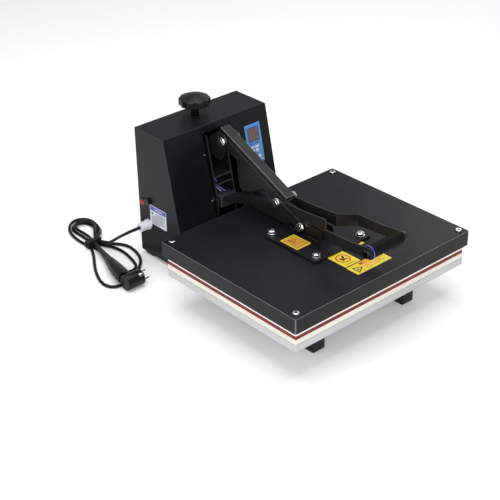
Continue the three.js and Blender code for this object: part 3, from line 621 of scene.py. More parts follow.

# ---------------------------------------------------------------------------
# Welded steel frame: square tubes and thick plates under the platens, powder coated in
# semi-matt black. Every cut edge is broken, and its bevel gets a much lighter grey: a painted highlight.
# ---------------------------------------------------------------------------
frame_paint = finish(
    "frame_paint", (0.006, 0.006, 0.0065), (0.014, 0.014, 0.014), smooth=0.45, dull=0.6,
    dimple=1200, depth=0.14, patch=11, specular=0.3
)
# Much lighter, glossier grey for the bevels of the cut edges: a painted highlight.
painted_edge_highlight = finish(
    "painted_edge_highlight", (0.075, 0.075, 0.082), (0.11, 0.11, 0.12), smooth=0.26, dull=0.36, dimple=700,
    depth=0.1, patch=25, specular=0.6
)


def made_from(node, width, look, segments=2, angle=30, bevel_highlight=None):
    """The plain part copied, its loose triangles merged, and its sharp edges rounded."""
    plain = frame["nodes"][node]
    piece = plain.copy()
    piece.data = plain.data.copy()
    piece.name = node + "_made"
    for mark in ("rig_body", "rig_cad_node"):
        del piece[mark]
    piece.parent = None
    bpy.context.scene.collection.objects.link(piece)
    select_only(piece)
    bpy.ops.object.mode_set(mode="EDIT")
    bpy.ops.mesh.select_all(action="SELECT")
    bpy.ops.mesh.remove_doubles(threshold=0.00002)
    bpy.ops.mesh.dissolve_limited(angle_limit=math.radians(1))
    bpy.ops.object.mode_set(mode="OBJECT")
    if piece.data.has_custom_normals:
        bpy.ops.mesh.customdata_custom_splitnormals_clear()
    piece.data.materials.clear()
    piece.data.materials.append(look)
    # The bevel faces take the second material: a painted highlight.
    if bevel_highlight:
        piece.data.materials.append(bevel_highlight)
    bevelled(piece, width, segments, math.radians(angle), 1 if bevel_highlight else -1)
    even = piece.modifiers.new("even", "WEIGHTED_NORMAL")
    even.keep_sharp = True
    bpy.ops.object.modifier_apply(modifier=even.name)
    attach(piece, plain["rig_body"])
    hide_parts(node)
    return piece


frame_nodes = ["base_rail_left", "base_rail_right", "cross_beam_front", "cross_beam_rear", "tower_base"]
frame_nodes += ["tower_plate_left", "tower_plate_right", "tower_shelf", "tower_bridge"]
for node in frame_nodes:
    made_from(node, 0.6 * mm, frame_paint, segments=2, angle=30, bevel_highlight=painted_edge_highlight)

# ---------------------------------------------------------------------------
# Weld beads: the ripples of a fillet weld along the foot of a plate, painted over. One
# bead is modelled at a time between two points, a row of overlapping round puddles.
# ---------------------------------------------------------------------------
def weld_bead(start, end, radius):
    span = Vector(end) - Vector(start)
    puddles = max(6, int(span.length / (1.5 * radius)))
    bpy.ops.mesh.primitive_cylinder_add(vertices=8, radius=radius, depth=span.length, end_fill_type="TRIFAN")
    bead = bpy.context.active_object
    bpy.ops.object.mode_set(mode="EDIT")
    bpy.ops.mesh.select_all(action="DESELECT")
    mesh = bmesh.from_edit_mesh(bead.data)
    for edge in mesh.edges:
        low, high = edge.verts
        edge.select = abs(low.co.z - high.co.z) > span.length / 2
    bmesh.update_edit_mesh(bead.data)
    bpy.ops.mesh.subdivide(number_cuts=puddles * 2 - 1)
    bpy.ops.object.mode_set(mode="OBJECT")
    step = span.length / (puddles * 2)
    for corner in bead.data.vertices:
        ring = round((corner.co.z + span.length / 2) / step)
        swell = 1.0 if ring % 2 else 0.78
        if ring in (0, puddles * 2):
            swell = 0.35
        corner.co.x *= swell
        corner.co.y *= swell
    turn = Vector((0, 0, 1)).rotation_difference(span).to_matrix().to_4x4()
    bead.matrix_world = Matrix.Translation((Vector(start) + Vector(end)) / 2) @ turn
    select_only(bead)
    settle()
    bpy.ops.object.shade_smooth()
    bead.data.materials.append(frame_paint)
    return bead


rail_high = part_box("base_rail_left")[1]
tower_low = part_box("tower_plate_left")[0]
frame_welds = []
for side in (-1, 1):
    for beam in ("cross_beam_front", "cross_beam_rear"):
        low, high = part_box(beam)
        inner = side * -rail_high.x
        for y in (low.y - 0.6 * mm, high.y + 0.6 * mm):
            start = Vector((inner - side * 2 * mm, y, low.z - 0.1 * mm))
            frame_welds.append(weld_bead(start, start - Vector((side * -22 * mm, 0, 0)), 1.7 * mm))
    foot = Vector((side * -(tower_low.x - 0.6 * mm), tower_low.y + 25 * mm, tower_low.z + 0.2 * mm))
    frame_welds.append(weld_bead(foot, foot + Vector((0, 80 * mm, 0)), 1.9 * mm))
frame_beads = join_all("frame_welds", frame_welds)
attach(frame_beads, "frame")

# ---------------------------------------------------------------------------
# Feet: moulded rubber boots pushed over the front ends of the rails, and flat rubber
# blocks under their rear ends.
# ---------------------------------------------------------------------------
foot_rubber = finish(
    "foot_rubber", (0.005, 0.005, 0.005), (0.014, 0.014, 0.013), smooth=0.5, dull=0.7,
    dimple=900, depth=0.2, patch=25, specular=0.35
)
for node in ("front_foot_left", "front_foot_right", "rear_foot_left", "rear_foot_right"):
    made_from(node, 1.6 * mm, foot_rubber, segments=3)

# ---------------------------------------------------------------------------
# Platen sandwich: light grey lower platen, cream silicone sponge, red silicone mat and
# the ground aluminium of the heater, with a fibre board on top of it inside the cover.
# ---------------------------------------------------------------------------
platen_grey = finish(
    "platen_grey", (0.56, 0.57, 0.58), (0.44, 0.45, 0.46), smooth=0.36, dull=0.5, dimple=1200,
    depth=0.1, patch=9
)
sponge_cream = finish(
    "sponge_cream", (0.86, 0.84, 0.76), (0.74, 0.71, 0.62), smooth=0.7, dull=0.85, dimple=2200,
    depth=0.35, patch=12, specular=0.3
)
mat_red = finish(
    "mat_red", (0.19, 0.012, 0.010), (0.27, 0.028, 0.022), smooth=0.5, dull=0.65, dimple=1800,
    depth=0.15, patch=12, specular=0.3
)
ground_aluminium = finish(
    "ground_aluminium", (0.86, 0.86, 0.85), (0.72, 0.72, 0.71), smooth=0.3, dull=0.45,
    dimple=400, depth=0.05, patch=30, metallic=0.75
)
wool_board = finish(
    "wool_board", (0.7, 0.62, 0.4), (0.5, 0.43, 0.27), smooth=0.9, dull=1.0, dimple=700,
    depth=0.8, patch=25
)
made_from("lower_platen", 1.0 * mm, platen_grey, segments=3)
made_from("silicone_pad", 1.2 * mm, sponge_cream, segments=3)
made_from("red_mat", 0.5 * mm, mat_red, segments=2)
made_from("heater_platen", 0.6 * mm, ground_aluminium, segments=2)
made_from("insulation_board", 1.5 * mm, wool_board, segments=2)

# ---------------------------------------------------------------------------
# Upper cover: a box folded from sheet steel and powder coated satin black. Four chromed
# socket screws at its corners hold it to the heater.
# ---------------------------------------------------------------------------
cover_paint = finish(
    "cover_paint", (0.0060, 0.0060, 0.0080), (0.0096, 0.0094, 0.0120), smooth=0.30, dull=0.38,
    dimple=1500, depth=0.12, patch=9, specular=0.17
)
# Light, glossy grey for the bevels of the cover's and housing's folds: a painted highlight.
painted_fold_highlight = finish(
    "painted_fold_highlight", (0.15, 0.15, 0.16), (0.20, 0.20, 0.21), smooth=0.24, dull=0.34, dimple=700,
    depth=0.1, patch=25, specular=0.8
)
zinc_plate = finish(
    "zinc_plate", (0.86, 0.87, 0.88), (0.6, 0.6, 0.6), smooth=0.10, dull=0.24, dimple=500,
    depth=0.05, patch=80, metallic=1.0
)
# Near black for the walls of the hexagon sockets: painted shade in the recess.
painted_socket_shade = finish(
    "painted_socket_shade", (0.02, 0.02, 0.02), (0.05, 0.05, 0.05), smooth=0.4, dull=0.6, dimple=500,
    depth=0.1, patch=40
)
# The bevels of the cover's folds get the painted fold highlight.
made_from(
    "upper_cover", 1.3 * mm, cover_paint, segments=3, angle=30, bevel_highlight=painted_fold_highlight
)
cover_top = cover_high.z
screw_reach = (242.5 * mm, 193.5 * mm)


def socket_screw(radius, height):
    """A low round head with a rounded rim and a hexagonal socket, standing at the origin. The socket walls
    are near black: painted shade.
    """
    bpy.ops.mesh.primitive_cylinder_add(vertices=24, radius=radius, depth=height, location=(0, 0, height / 2))
    screw = bpy.context.active_object
    settle()
    screw.data.materials.append(zinc_plate)
    screw.data.materials.append(painted_socket_shade)
    bevelled(screw, height * 0.45, 4)
    socket_radius = radius * 0.42
    bpy.ops.mesh.primitive_cylinder_add(
        vertices=6, radius=socket_radius, depth=height, location=(0, 0, height)
    )
    hexagon = bpy.context.active_object
    settle()
    hexagon.data.materials.append(zinc_plate)
    hexagon.data.materials.append(painted_socket_shade)
    # The socket walls take the second material: painted shade.
    for face in hexagon.data.polygons:
        face.material_index = 1
    hollow = screw.modifiers.new("hollow", "BOOLEAN")
    hollow.operation = "DIFFERENCE"
    hollow.solver = "EXACT"
    hollow.object = hexagon
    select_only(screw)
    bpy.ops.object.modifier_apply(modifier=hollow.name)
    bpy.data.objects.remove(hexagon)
    bpy.ops.object.shade_smooth_by_angle(angle=math.radians(35))
    return screw


def copies(name, pattern, places):
    """Copies of a small piece, each with its own mesh, joined into one."""
    made = []
    for place in places:
        one = pattern.copy()
        one.data = pattern.data.copy()
        bpy.context.scene.collection.objects.link(one)
        one.matrix_world = place
        select_only(one)
        settle()
        made.append(one)
    bpy.data.objects.remove(pattern)
    return join_all(name, made)


corners = [(sx, sy) for sx in (-1, 1) for sy in (-1, 1)]
corner_places = []
for sx, sy in corners:
    middle = Vector((sx * screw_reach[0], platen_middle_y + sy * screw_reach[1], cover_top))
    corner_places.append(Matrix.Translation(middle))
cover_screws = copies("cover_screws", socket_screw(7.4 * mm, 3.6 * mm), corner_places)
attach(cover_screws, "arm")

# ---------------------------------------------------------------------------
# Mounting bracket, arm, lever, links and handle bars: laser-cut plates and a rectangular
# tube, powder coated, with welds along the bracket's ears.
# ---------------------------------------------------------------------------
lever_paint = finish(
    "lever_paint", (0.008, 0.008, 0.009), (0.020, 0.020, 0.022), smooth=0.34, dull=0.46,
    dimple=1300, depth=0.2, patch=14, specular=0.32
)
yoke_steel = finish(
    "yoke_steel", (0.018, 0.018, 0.022), (0.04, 0.04, 0.045), smooth=0.35, dull=0.5, dimple=900,
    depth=0.15, patch=30, specular=0.5
)
bare_steel = finish(
    "bare_steel", (0.42, 0.42, 0.42), (0.3, 0.29, 0.28), smooth=0.28, dull=0.45, dimple=800,
    depth=0.1, patch=40, metallic=1.0
)
# The bracket, arm, lever, links and yoke get the painted edge highlight on their bevels.
made_from(
    "mounting_bracket", 0.6 * mm, cover_paint, segments=2, angle=30,
    bevel_highlight=painted_edge_highlight
)
for node in ("lower_arm", "lever_tube"):
    made_from(node, 1.2 * mm, lever_paint, segments=3, angle=30, bevel_highlight=painted_edge_highlight)
plates = ["lever_side_left", "lever_side_right", "handle_bar_left", "handle_bar_right"]
plates += ["link_left", "link_right", "pressure_rocker"]
for node in plates:
    made_from(node, 0.5 * mm, lever_paint, segments=2, angle=40, bevel_highlight=painted_edge_highlight)
made_from("arm_yoke", 1.0 * mm, yoke_steel, segments=2, angle=30, bevel_highlight=painted_edge_highlight)
made_from("pressure_nut", 0.8 * mm, bare_steel, segments=2)
made_from("pressure_screw", 0.4 * mm, bare_steel, segments=2, angle=40)

bracket_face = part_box("mounting_bracket")[0].z + 4.5 * mm
ear_outer = 19.1 * mm
ear_front = platen_middle_y - 34 * mm
bracket_welds = []
for side in (-1, 1):
    for x in (side * (ear_outer + 0.5 * mm), side * (ear_outer - 3.5 * mm)):
        start = Vector((x, ear_front + 6 * mm, bracket_face + 0.4 * mm))
        bracket_welds.append(weld_bead(start, start + Vector((0, 30 * mm, 0)), 1.7 * mm))
        start = start + Vector((0, 62 * mm, 0))
        bracket_welds.append(weld_bead(start, start + Vector((0, 28 * mm, 0)), 1.7 * mm))
bracket_beads = join_all("bracket_welds", bracket_welds)
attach(bracket_beads, "arm")

# ---------------------------------------------------------------------------
# Bolts and pins: bright zinc plated, hexagon heads on flanges, their corners chamfered.
# ---------------------------------------------------------------------------
mount_bolts = ["mount_bolt_front_left", "mount_bolt_front_right"]
mount_bolts += ["mount_bolt_rear_left", "mount_bolt_rear_right"]
bolt_nodes = ["lower_pivot_bolt", "upper_pivot_bolt", "toggle_bolt_left", "toggle_bolt_right"]
bolt_nodes += ["toggle_pin"] + mount_bolts + ["arm_shaft", "rocker_shaft"]
for node in bolt_nodes:
    made_from(node, 0.8 * mm, zinc_plate, segments=3, angle=40)

# A shallow round dimple is forged in the middle of each of the four heads on the bracket. Its hexagonal
# socket is near black: painted shade.
dimple_places = []
for node in mount_bolts:
    low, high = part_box(node)
    middle = (low + high) / 2
    dimple_places.append(Matrix.Translation((middle.x, middle.y, high.z - 0.35 * mm)))
bolt_dimples = copies("bolt_dimples", socket_screw(3.6 * mm, 0.9 * mm), dimple_places)
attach(bolt_dimples, "arm")

# ---------------------------------------------------------------------------
# Grip: a ribbed sleeve of black rubber on a rod through the ends of the bars, with a
# violet-blue washer at its left end and black-plated nuts outside the bars.
# ---------------------------------------------------------------------------
grip_rubber = finish(
    "grip_rubber", (0.002, 0.002, 0.002), (0.006, 0.0055, 0.0055), smooth=0.45, dull=0.6,
    dimple=1000, depth=0.2, patch=30, specular=0.10
)
washer_violet = finish(
    "washer_violet", (0.05, 0.06, 0.36), (0.09, 0.10, 0.42), smooth=0.3, dull=0.4, dimple=700,
    depth=0.05, patch=40
)
black_nickel = finish(
    "black_nickel", (0.10, 0.10, 0.11), (0.06, 0.06, 0.065), smooth=0.14, dull=0.28, dimple=500,
    depth=0.05, patch=60, metallic=1.0
)
made_from("handle_grip", 0.9 * mm, grip_rubber, segments=3, angle=15)
made_from("grip_rod", 1.6 * mm, black_nickel, segments=4, angle=40)
grip_low, grip_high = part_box("handle_grip")
grip_middle = (grip_low + grip_high) / 2
grip_radius = (grip_high.z - grip_low.z) / 2
bpy.ops.mesh.primitive_cylinder_add(
    vertices=40,
    radius=grip_radius + 0.9 * mm,
    depth=2.4 * mm,
    location=(grip_low.x + 1.6 * mm, grip_middle.y, grip_middle.z),
    rotation=(0, math.pi / 2, 0),
)
grip_washer = bpy.context.active_object
grip_washer.name = "grip_washer"
settle()
bpy.ops.object.mode_set(mode="EDIT")
pick_faces(grip_washer, lambda middle, normal: abs(normal.x) > 0.9)
bpy.ops.mesh.inset(thickness=2.6 * mm)
bpy.ops.mesh.delete(type="FACE")
bpy.ops.object.mode_set(mode="OBJECT")
wall = grip_washer.modifiers.new("wall", "SOLIDIFY")
wall.thickness = 1.0 * mm
select_only(grip_washer)
bpy.ops.object.modifier_apply(modifier=wall.name)
bevelled(grip_washer, 0.3 * mm, 2)
grip_washer.data.materials.append(washer_violet)
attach(grip_washer, "lever")

# ---------------------------------------------------------------------------
# Housing: two folded covers of sheet steel, powder coated like the platen cover. Small
# pan-head screws hold the back panel, and two rivets sit beside the slot in front.
# ---------------------------------------------------------------------------
shell_low, shell_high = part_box("housing_shell")
# The bevels of the housing's folds get the painted fold highlight.
made_from(
    "housing_shell", 2.4 * mm, cover_paint, segments=3, angle=20, bevel_highlight=painted_fold_highlight
)
# The back cover's bevels get the painted edge highlight.
made_from(
    "housing_back_cover", 0.9 * mm, cover_paint, segments=2, angle=30,
    bevel_highlight=painted_edge_highlight
)
back_low, back_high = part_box("housing_back_cover")
rearwards = Matrix.Rotation(-math.pi / 2, 4, "X")
back_places = []
for x in (back_low.x + 9 * mm, 0, back_high.x - 9 * mm):
    for z in (back_low.z + 14 * mm, (back_low.z + back_high.z) / 2, back_high.z - 12 * mm):
        if x or z != (back_low.z + back_high.z) / 2:
            back_places.append(Matrix.Translation((x, back_high.y, z)) @ rearwards)
back_screws = copies("back_screws", socket_screw(3.6 * mm, 2.0 * mm), back_places)
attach(back_screws, "frame")

# The front face of the housing: it leans back from the slot's foot to the top edge.
face_lean = 0.2113
face_tilt = math.atan(face_lean)
face_top_y = shell_high.y - 103 * mm


def on_face(x, z, out=0.0):
    """A place on the leaning front, with its axes: x along, y up the face, z out of it."""
    y = face_top_y - (shell_high.z - z) * face_lean
    turn = Matrix.Rotation(math.pi / 2 - face_tilt, 4, "X")
    return Matrix.Translation((x, y, z)) @ turn @ Matrix.Translation((0, 0, out))


rivet_places = [on_face(side * 46.5 * mm, z) for side in (-1, 1) for z in (259 * mm, 150 * mm)]
front_rivets = copies("front_rivets", socket_screw(2.2 * mm, 1.2 * mm), rivet_places)
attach(front_rivets, "frame")

# Louvres punched in the back panel: short half-round hoods, one above the other.
bpy.ops.mesh.primitive_cylinder_add(vertices=24, radius=4 * mm, depth=70 * mm, rotation=(0, math.pi / 2, 0))
hood = bpy.context.active_object
settle()
bpy.ops.object.mode_set(mode="EDIT")
bpy.ops.mesh.select_all(action="SELECT")
bpy.ops.mesh.bisect(plane_co=(0, 0, 0), plane_no=(0, -1, 0), clear_outer=True, use_fill=True)
bpy.ops.object.mode_set(mode="OBJECT")
hood.scale = (1, 0.4, 1)
settle()
bevelled(hood, 0.6 * mm, 3, math.radians(40))
hood.data.materials.append(cover_paint)
louvre_places = []
for x in (-75 * mm, 75 * mm):
    for row in range(6):
        louvre_places.append(Matrix.Translation((x, back_high.y - 0.05 * mm, (110 + 15 * row) * mm)))
louvres = copies("louvres", hood, louvre_places)
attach(louvres, "frame")

# ---------------------------------------------------------------------------
# Thin printed film: the plain stickers and the rating label. Each is a rounded piece of
# film with flat printed marks on it, none of which is lettering.
# ---------------------------------------------------------------------------
def ink(name, clean, dusty):
    return finish(name, clean, dusty, smooth=0.3, dull=0.42, dimple=900, depth=0.02, patch=30)


sticker_yellow = ink("sticker_yellow", (0.76, 0.60, 0.035), (0.68, 0.52, 0.03))
sticker_ochre = ink("sticker_ochre", (0.50, 0.29, 0.02), (0.42, 0.23, 0.02))
print_red = ink("print_red", (0.52, 0.03, 0.012), (0.42, 0.03, 0.015))
print_brown = ink("print_brown", (0.26, 0.075, 0.012), (0.20, 0.06, 0.012))
print_black = ink("print_black", (0.012, 0.011, 0.01), (0.02, 0.02, 0.02))
film_white = ink("film_white", (0.70, 0.72, 0.78), (0.60, 0.62, 0.68))
print_blue = ink("print_blue", (0.045, 0.075, 0.42), (0.04, 0.065, 0.36))
print_grey = ink("print_grey", (0.07, 0.08, 0.14), (0.09, 0.10, 0.16))
print_green = ink("print_green", (0.05, 0.30, 0.06), (0.05, 0.24, 0.06))


def raised(flat, place, middle, look, height, turned):
    """The flat shape that is in edit mode gets its thickness, and goes to its place."""
    bpy.ops.mesh.extrude_region_move(TRANSFORM_OT_translate={"value": (0, 0, height * mm)})
    bpy.ops.mesh.select_all(action="SELECT")
    bpy.ops.mesh.normals_make_consistent(inside=False)
    bpy.ops.object.mode_set(mode="OBJECT")
    flat.data.materials.append(look)
    local = Matrix.Translation((middle[0] * mm, middle[1] * mm, 0)) @ Matrix.Rotation(turned, 4, "Z")
    flat.matrix_world = place @ local
    select_only(flat)
    settle()
    return flat


def film(place, middle, size, look, height=0.3, corner=0.0, turned=0.0):
    """A flat patch on a surface: middle and size in millimetres in that surface's own axes."""
    bpy.ops.mesh.primitive_plane_add(size=1)
    patch = bpy.context.active_object
    patch.scale = (size[0] * mm, size[1] * mm, 1)
    settle()
    bpy.ops.object.mode_set(mode="EDIT")
    bpy.ops.mesh.select_all(action="SELECT")
    if corner:
        bpy.ops.mesh.bevel(offset=corner * mm, segments=4, affect="VERTICES")
    return raised(patch, place, middle, look, height, turned)


def ring_mark(place, middle, radius, width, look, height, sides=32, turned=0.0):
    """A flat ring, or with three sides the outline of a triangle."""
    bpy.ops.mesh.primitive_circle_add(vertices=sides, radius=radius * mm, fill_type="NGON")
    mark = bpy.context.active_object
    bpy.ops.object.mode_set(mode="EDIT")
    bpy.ops.mesh.select_all(action="SELECT")
    bpy.ops.mesh.inset(thickness=width * mm)
    bpy.ops.mesh.delete(type="FACE")
    bpy.ops.mesh.select_all(action="SELECT")
    return raised(mark, place, middle, look, height, turned)


def kept_film(name, patches_made, body):
    whole = join_all(name, patches_made)
    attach(whole, body)


# On the bracket's left wing, by the ear: ochre film with a brown triangle.
wing = Matrix.Translation((-55.7 * mm, platen_middle_y + 5 * mm, bracket_face))
wing_marks = [
    film(wing, (0, 0), (41, 53.5), sticker_yellow, 0.30, 2.5),
    film(wing, (0, 0), (37, 49.5), sticker_ochre, 0.36, 2),
    ring_mark(wing, (-2, 7), 13.5, 2.6, print_brown, 0.42, 3, math.radians(30)),
    film(wing, (-2, 7), (2.6, 9), print_brown, 0.42, 0.8),
    film(wing, (1, -9), (27, 2.2), print_brown, 0.42, 0.5),
    film(wing, (1, -13.5), (22, 1.6), sticker_yellow, 0.42, 0.5),
    film(wing, (1, -17.5), (27, 2.2), print_brown, 0.42, 0.5),
]
kept_film("bracket_sticker", wing_marks, "arm")

# On the cover in front of the bracket: a square one with a red ring, and a long one.
top_square = Matrix.Translation((-25.5 * mm, platen_middle_y - 110 * mm, cover_top))
square_marks = [
    film(top_square, (0, 0), (44.5, 54), sticker_yellow, 0.30, 2),
    ring_mark(top_square, (0, 3), 16.5, 2.8, print_red, 0.36),
    film(top_square, (0, 2), (3.4, 22), print_red, 0.40, 1, math.radians(52)),
    film(top_square, (-3, 1), (8, 11), print_black, 0.36, 2.5, math.radians(20)),
    film(top_square, (3.5, 7), (5, 12), print_black, 0.36, 2, math.radians(-30)),
    film(top_square, (0, -20), (30, 1.6), print_brown, 0.36, 0.4),
]
kept_film("hand_sticker", square_marks, "arm")

top_long = Matrix.Translation((1.2 * mm, platen_middle_y - 157.5 * mm, cover_top))
long_marks = [
    film(top_long, (0, 0), (101, 35), sticker_yellow, 0.30, 1.6),
    ring_mark(top_long, (-35, -1.5), 14.5, 2.4, print_black, 0.36, 3, math.radians(30)),
    film(top_long, (-35, -2), (2.6, 8), print_black, 0.36, 0.8),
    film(top_long, (14, 11), (66, 8.5), print_red, 0.36, 1),
    film(top_long, (14, 11), (46, 2.6), sticker_yellow, 0.42, 0.8),
]
for row, (length, shift) in enumerate([(62, 13), (52, 8), (60, 12), (40, 2)]):
    long_marks.append(film(top_long, (shift, 2.5 - 4.2 * row), (length, 1.2), print_red, 0.36, 0.4))
kept_film("long_sticker", long_marks, "arm")

top_small = Matrix.Translation((44 * mm, platen_middle_y - 82 * mm, cover_top))
small_marks = [
    film(top_small, (0, 0), (24, 20), sticker_yellow, 0.30, 1.4),
    film(top_small, (0, 4), (17, 3), print_red, 0.36, 0.6),
    film(top_small, (0, -3), (17, 1.4), print_brown, 0.36, 0.4),
]
kept_film("small_sticker", small_marks, "arm")

# The rating label on the housing's left side: white film with a blue header.
side_axes = Matrix(((0, 0, -1), (-1, 0, 0), (0, 1, 0))).to_4x4()
left_side = Matrix.Translation((shell_low.x, platen_middle_y + 361.5 * mm, 118 * mm)) @ side_axes
label_marks = [
    film(left_side, (0, 0), (60, 48), film_white, 0.30, 2),
    film(left_side, (0, 17), (57, 11), print_blue, 0.36, 1),
    film(left_side, (1, 17), (30, 1.8), film_white, 0.42, 0.6),
    film(left_side, (-21, 4), (8, 7), print_green, 0.36, 1.4),
]
for row, (length, shift) in enumerate([(36, 8), (32, 6), (48, 0), (44, -2), (50, 0), (30, -9)]):
    label_marks.append(film(left_side, (shift, 6.5 - 5.2 * row), (length, 2.3), print_grey, 0.36, 0.4))
kept_film("rating_label", label_marks, "frame")

# ---------------------------------------------------------------------------
# Controller: a blue film panel on the front, with a sunken display window, dark marks
# over its three white keys, and the black case behind it.
# ---------------------------------------------------------------------------
panel_blue = finish(
    "panel_blue", (0.075, 0.26, 0.66), (0.10, 0.32, 0.74), smooth=0.16, dull=0.28, dimple=600,
    depth=0.02, patch=14
)
panel_deep = finish(
    "panel_deep", (0.02, 0.07, 0.34), (0.03, 0.09, 0.38), smooth=0.2, dull=0.3, dimple=600,
    depth=0.02, patch=30
)
window_brown = finish(
    "window_brown", (0.10, 0.080, 0.085), (0.14, 0.11, 0.115), smooth=0.08, dull=0.16,
    dimple=400, depth=0.02, patch=30
)
digit_red = finish(
    "digit_red", (0.30, 0.075, 0.06), (0.24, 0.07, 0.06), smooth=0.3, dull=0.4, dimple=400,
    depth=0.02, patch=30
)
key_white = finish(
    "key_white", (0.80, 0.82, 0.84), (0.66, 0.68, 0.70), smooth=0.3, dull=0.45, dimple=700,
    depth=0.04, patch=30
)
case_black = finish(
    "case_black", (0.006, 0.006, 0.007), (0.016, 0.016, 0.017), smooth=0.3, dull=0.45,
    dimple=1400, depth=0.08, patch=20, specular=0.35
)
made_from("control_panel", 0.5 * mm, panel_blue, segments=2)
made_from("controller_case", 0.6 * mm, case_black, segments=2, angle=40)
for node in ("panel_key_down", "panel_key_up", "panel_key_set"):
    made_from(node, 0.5 * mm, key_white, segments=3)
panel_x = 101 * mm
panel_top_z = 288 * mm
panel_out = 1.72 * mm
cosine = math.cos(face_tilt)


def on_panel(down):
    """A place down the middle of the panel, measured along the slope from its top edge."""
    return on_face(panel_x, panel_top_z - down * mm * cosine, panel_out)


panel_marks = [
    film(on_panel(25), (0, 0), (34, 36), panel_deep, 0.30, 2),
    film(on_panel(25), (0, 0), (30, 32), window_brown, 0.42, 1.5),
    film(on_panel(47), (-9, 0), (12, 2.2), panel_deep, 0.30, 0.8),
    film(on_panel(47), (8, 0), (14, 2.2), panel_deep, 0.30, 0.8),
    film(on_panel(55.5), (-8, 0), (10, 6), film_white, 0.30, 1.2),
    film(on_panel(55.5), (6, 0), (12, 6), film_white, 0.30, 1.2),
    film(on_panel(73), (-11, 0), (13, 5), film_white, 0.30, 1.2),
    film(on_panel(89), (3, 0), (32, 3), film_white, 0.30, 1),
]
for row in (-7, 7):
    for column in (-8.5, 0.5, 9.5):
        for rise in (-2.9, 2.9):
            half = ring_mark(on_panel(25 - row), (column, rise), 3.3, 0.9, digit_red, 0.48, 4, math.pi / 4)
            panel_marks.append(half)
kept_film("panel_prints", panel_marks, "frame")

# ---------------------------------------------------------------------------
# Left side: rocker switch with a lit red rocker, a round fuse cap, and a hexagonal gland
# of white nylon with the thread and the ribs of its clamping nut.
# ---------------------------------------------------------------------------
white_nylon = finish(
    "white_nylon", (0.80, 0.80, 0.85), (0.66, 0.66, 0.72), smooth=0.3, dull=0.45, dimple=900,
    depth=0.08, patch=30
)
lamp_red = finish(
    "lamp_red", (0.55, 0.008, 0.014), (0.40, 0.008, 0.012), smooth=0.10, dull=0.2, dimple=500,
    depth=0.03, patch=30
)
made_from("fuse_holder", 0.9 * mm, case_black, segments=3, angle=40)
made_from("power_switch_body", 0.9 * mm, case_black, segments=3, angle=40)
made_from("cord_gland", 0.9 * mm, white_nylon, segments=3, angle=40)
made_from("power_rocker", 0.6 * mm, lamp_red, segments=3, angle=40)

# Ribs round the gland's clamping nut.
bpy.ops.mesh.primitive_cube_add(size=1)
rib = bpy.context.active_object
rib.scale = (13 * mm, 1.5 * mm, 1.4 * mm)
settle()
rib.data.materials.append(white_nylon)
bevelled(rib, 0.5 * mm, 2)
rib_count = 16
rib_places = []
for k in range(rib_count):
    around = Matrix.Rotation(2 * math.pi * k / rib_count, 4, "X")
    rib_middle = Matrix.Translation((gland_low.x + 9 * mm, gland_middle.y, gland_middle.z))
    rib_places.append(rib_middle @ around @ Matrix.Translation((0, 0, 9.4 * mm)))
gland_ribs = copies("gland_ribs", rib, rib_places)
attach(gland_ribs, "frame")

# ---------------------------------------------------------------------------
# Knob: a lobed star knob moulded in black plastic, its rim and crown rounded over.
# ---------------------------------------------------------------------------
knob_plastic = finish(
    "knob_plastic", (0.005, 0.005, 0.0055), (0.010, 0.010, 0.011), smooth=0.3, dull=0.42,
    dimple=1400, depth=0.1, patch=22, specular=0.22
)
made_from("pressure_knob", 2.4 * mm, knob_plastic, segments=4, angle=32)

# ---------------------------------------------------------------------------
# Heater leads: two glass-braid sleeves, violet and pale, that run down inside the slot
# from the controller to the hole in the arm's yoke.
# ---------------------------------------------------------------------------
braid_violet = finish(
    "braid_violet", (0.10, 0.07, 0.62), (0.22, 0.18, 0.72), smooth=0.45, dull=0.6, dimple=1600,
    depth=0.6, patch=90
)
braid_pale = finish(
    "braid_pale", (0.42, 0.40, 0.44), (0.30, 0.29, 0.32), smooth=0.6, dull=0.8, dimple=1600,
    depth=0.6, patch=90
)


def lead(name, points, look):
    line = bpy.data.curves.new(name, "CURVE")
    line.dimensions = "3D"
    line.bevel_depth = 1.5 * mm
    line.bevel_resolution = 3
    line.use_fill_caps = True
    spline = line.splines.new("BEZIER")
    spline.bezier_points.add(len(points) - 1)
    for knot, point in zip(spline.bezier_points, points):
        knot.co = from_platen(*point)
        knot.handle_left_type = "AUTO"
        knot.handle_right_type = "AUTO"
    made = bpy.data.objects.new(name, line)
    bpy.context.scene.collection.objects.link(made)
    made.data.materials.append(look)
    select_only(made)
    bpy.ops.object.convert(target="MESH")
    made = bpy.context.active_object
    bpy.ops.object.shade_smooth()
    return made


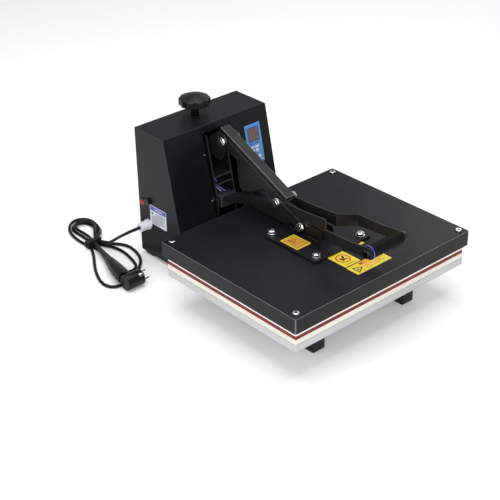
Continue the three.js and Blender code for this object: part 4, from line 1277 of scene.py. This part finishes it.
violet_route = [(-14, 326, 198), (-12, 318, 180), (-9, 314, 168), (-3, 308, 160), (3, 305, 155)]
pale_route = [(-19, 330, 198), (-18, 322, 182), (-15, 318, 170), (-10, 313, 161), (-6, 309, 155)]
heater_leads = join_all(
    "heater_leads", [lead("violet", violet_route, braid_violet), lead("pale", pale_route, braid_pale)]
)
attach(heater_leads, "frame")

# ---------------------------------------------------------------------------
# Floor and light: a plain pale floor that glows a little, under soft white light from all
# round, with large lamps overhead and in front, and weaker ones at the left and behind.
# ---------------------------------------------------------------------------
bpy.ops.mesh.primitive_plane_add(size=14, location=(0, 0, 0))
floor = bpy.context.active_object
floor.name = "floor"
floor_paint = bpy.data.materials.new("floor_paint")
floor_paint.use_nodes = True
floor_shader = floor_paint.node_tree.nodes["Principled BSDF"]
floor_shader.inputs["Base Color"].default_value = (0.92, 0.92, 0.92, 1)
floor_shader.inputs["Roughness"].default_value = 0.9
floor_shader.inputs["Emission Color"].default_value = (1, 1, 1, 1)
floor_shader.inputs["Emission Strength"].default_value = 0.1
floor.data.materials.append(floor_paint)

sky = bpy.data.worlds.new("studio")
sky.use_nodes = True
sky.node_tree.nodes["Background"].inputs["Color"].default_value = (1, 1, 1, 1)
sky.node_tree.nodes["Background"].inputs["Strength"].default_value = 0.40
bpy.context.scene.world = sky
bpy.context.scene.view_settings.view_transform = "Standard"


def soft_box(name, place, target, size, power):
    lamp = bpy.data.lights.new(name, "AREA")
    lamp.shape = "RECTANGLE"
    lamp.size = size[0]
    lamp.size_y = size[1]
    lamp.energy = power
    holder = bpy.data.objects.new(name, lamp)
    bpy.context.scene.collection.objects.link(holder)
    holder.location = place
    holder.rotation_euler = (Vector(target) - Vector(place)).to_track_quat("-Z", "Y").to_euler()


soft_box("overhead", (0.0, 0.1, 2.6), (0, 0, 0), (2.6, 2.6), 60)
soft_box("front_lamp", (-2.0, -2.4, 1.5), (0, 0, 0.1), (1.7, 1.3), 42)
soft_box("left_lamp", (-2.6, 0.6, 1.3), (0, 0, 0.15), (0.9, 1.5), 7)
soft_box("back_lamp", (3.3, 1.35, 1.9), (0.15, 0, 0.12), (1.9, 1.6), 12)
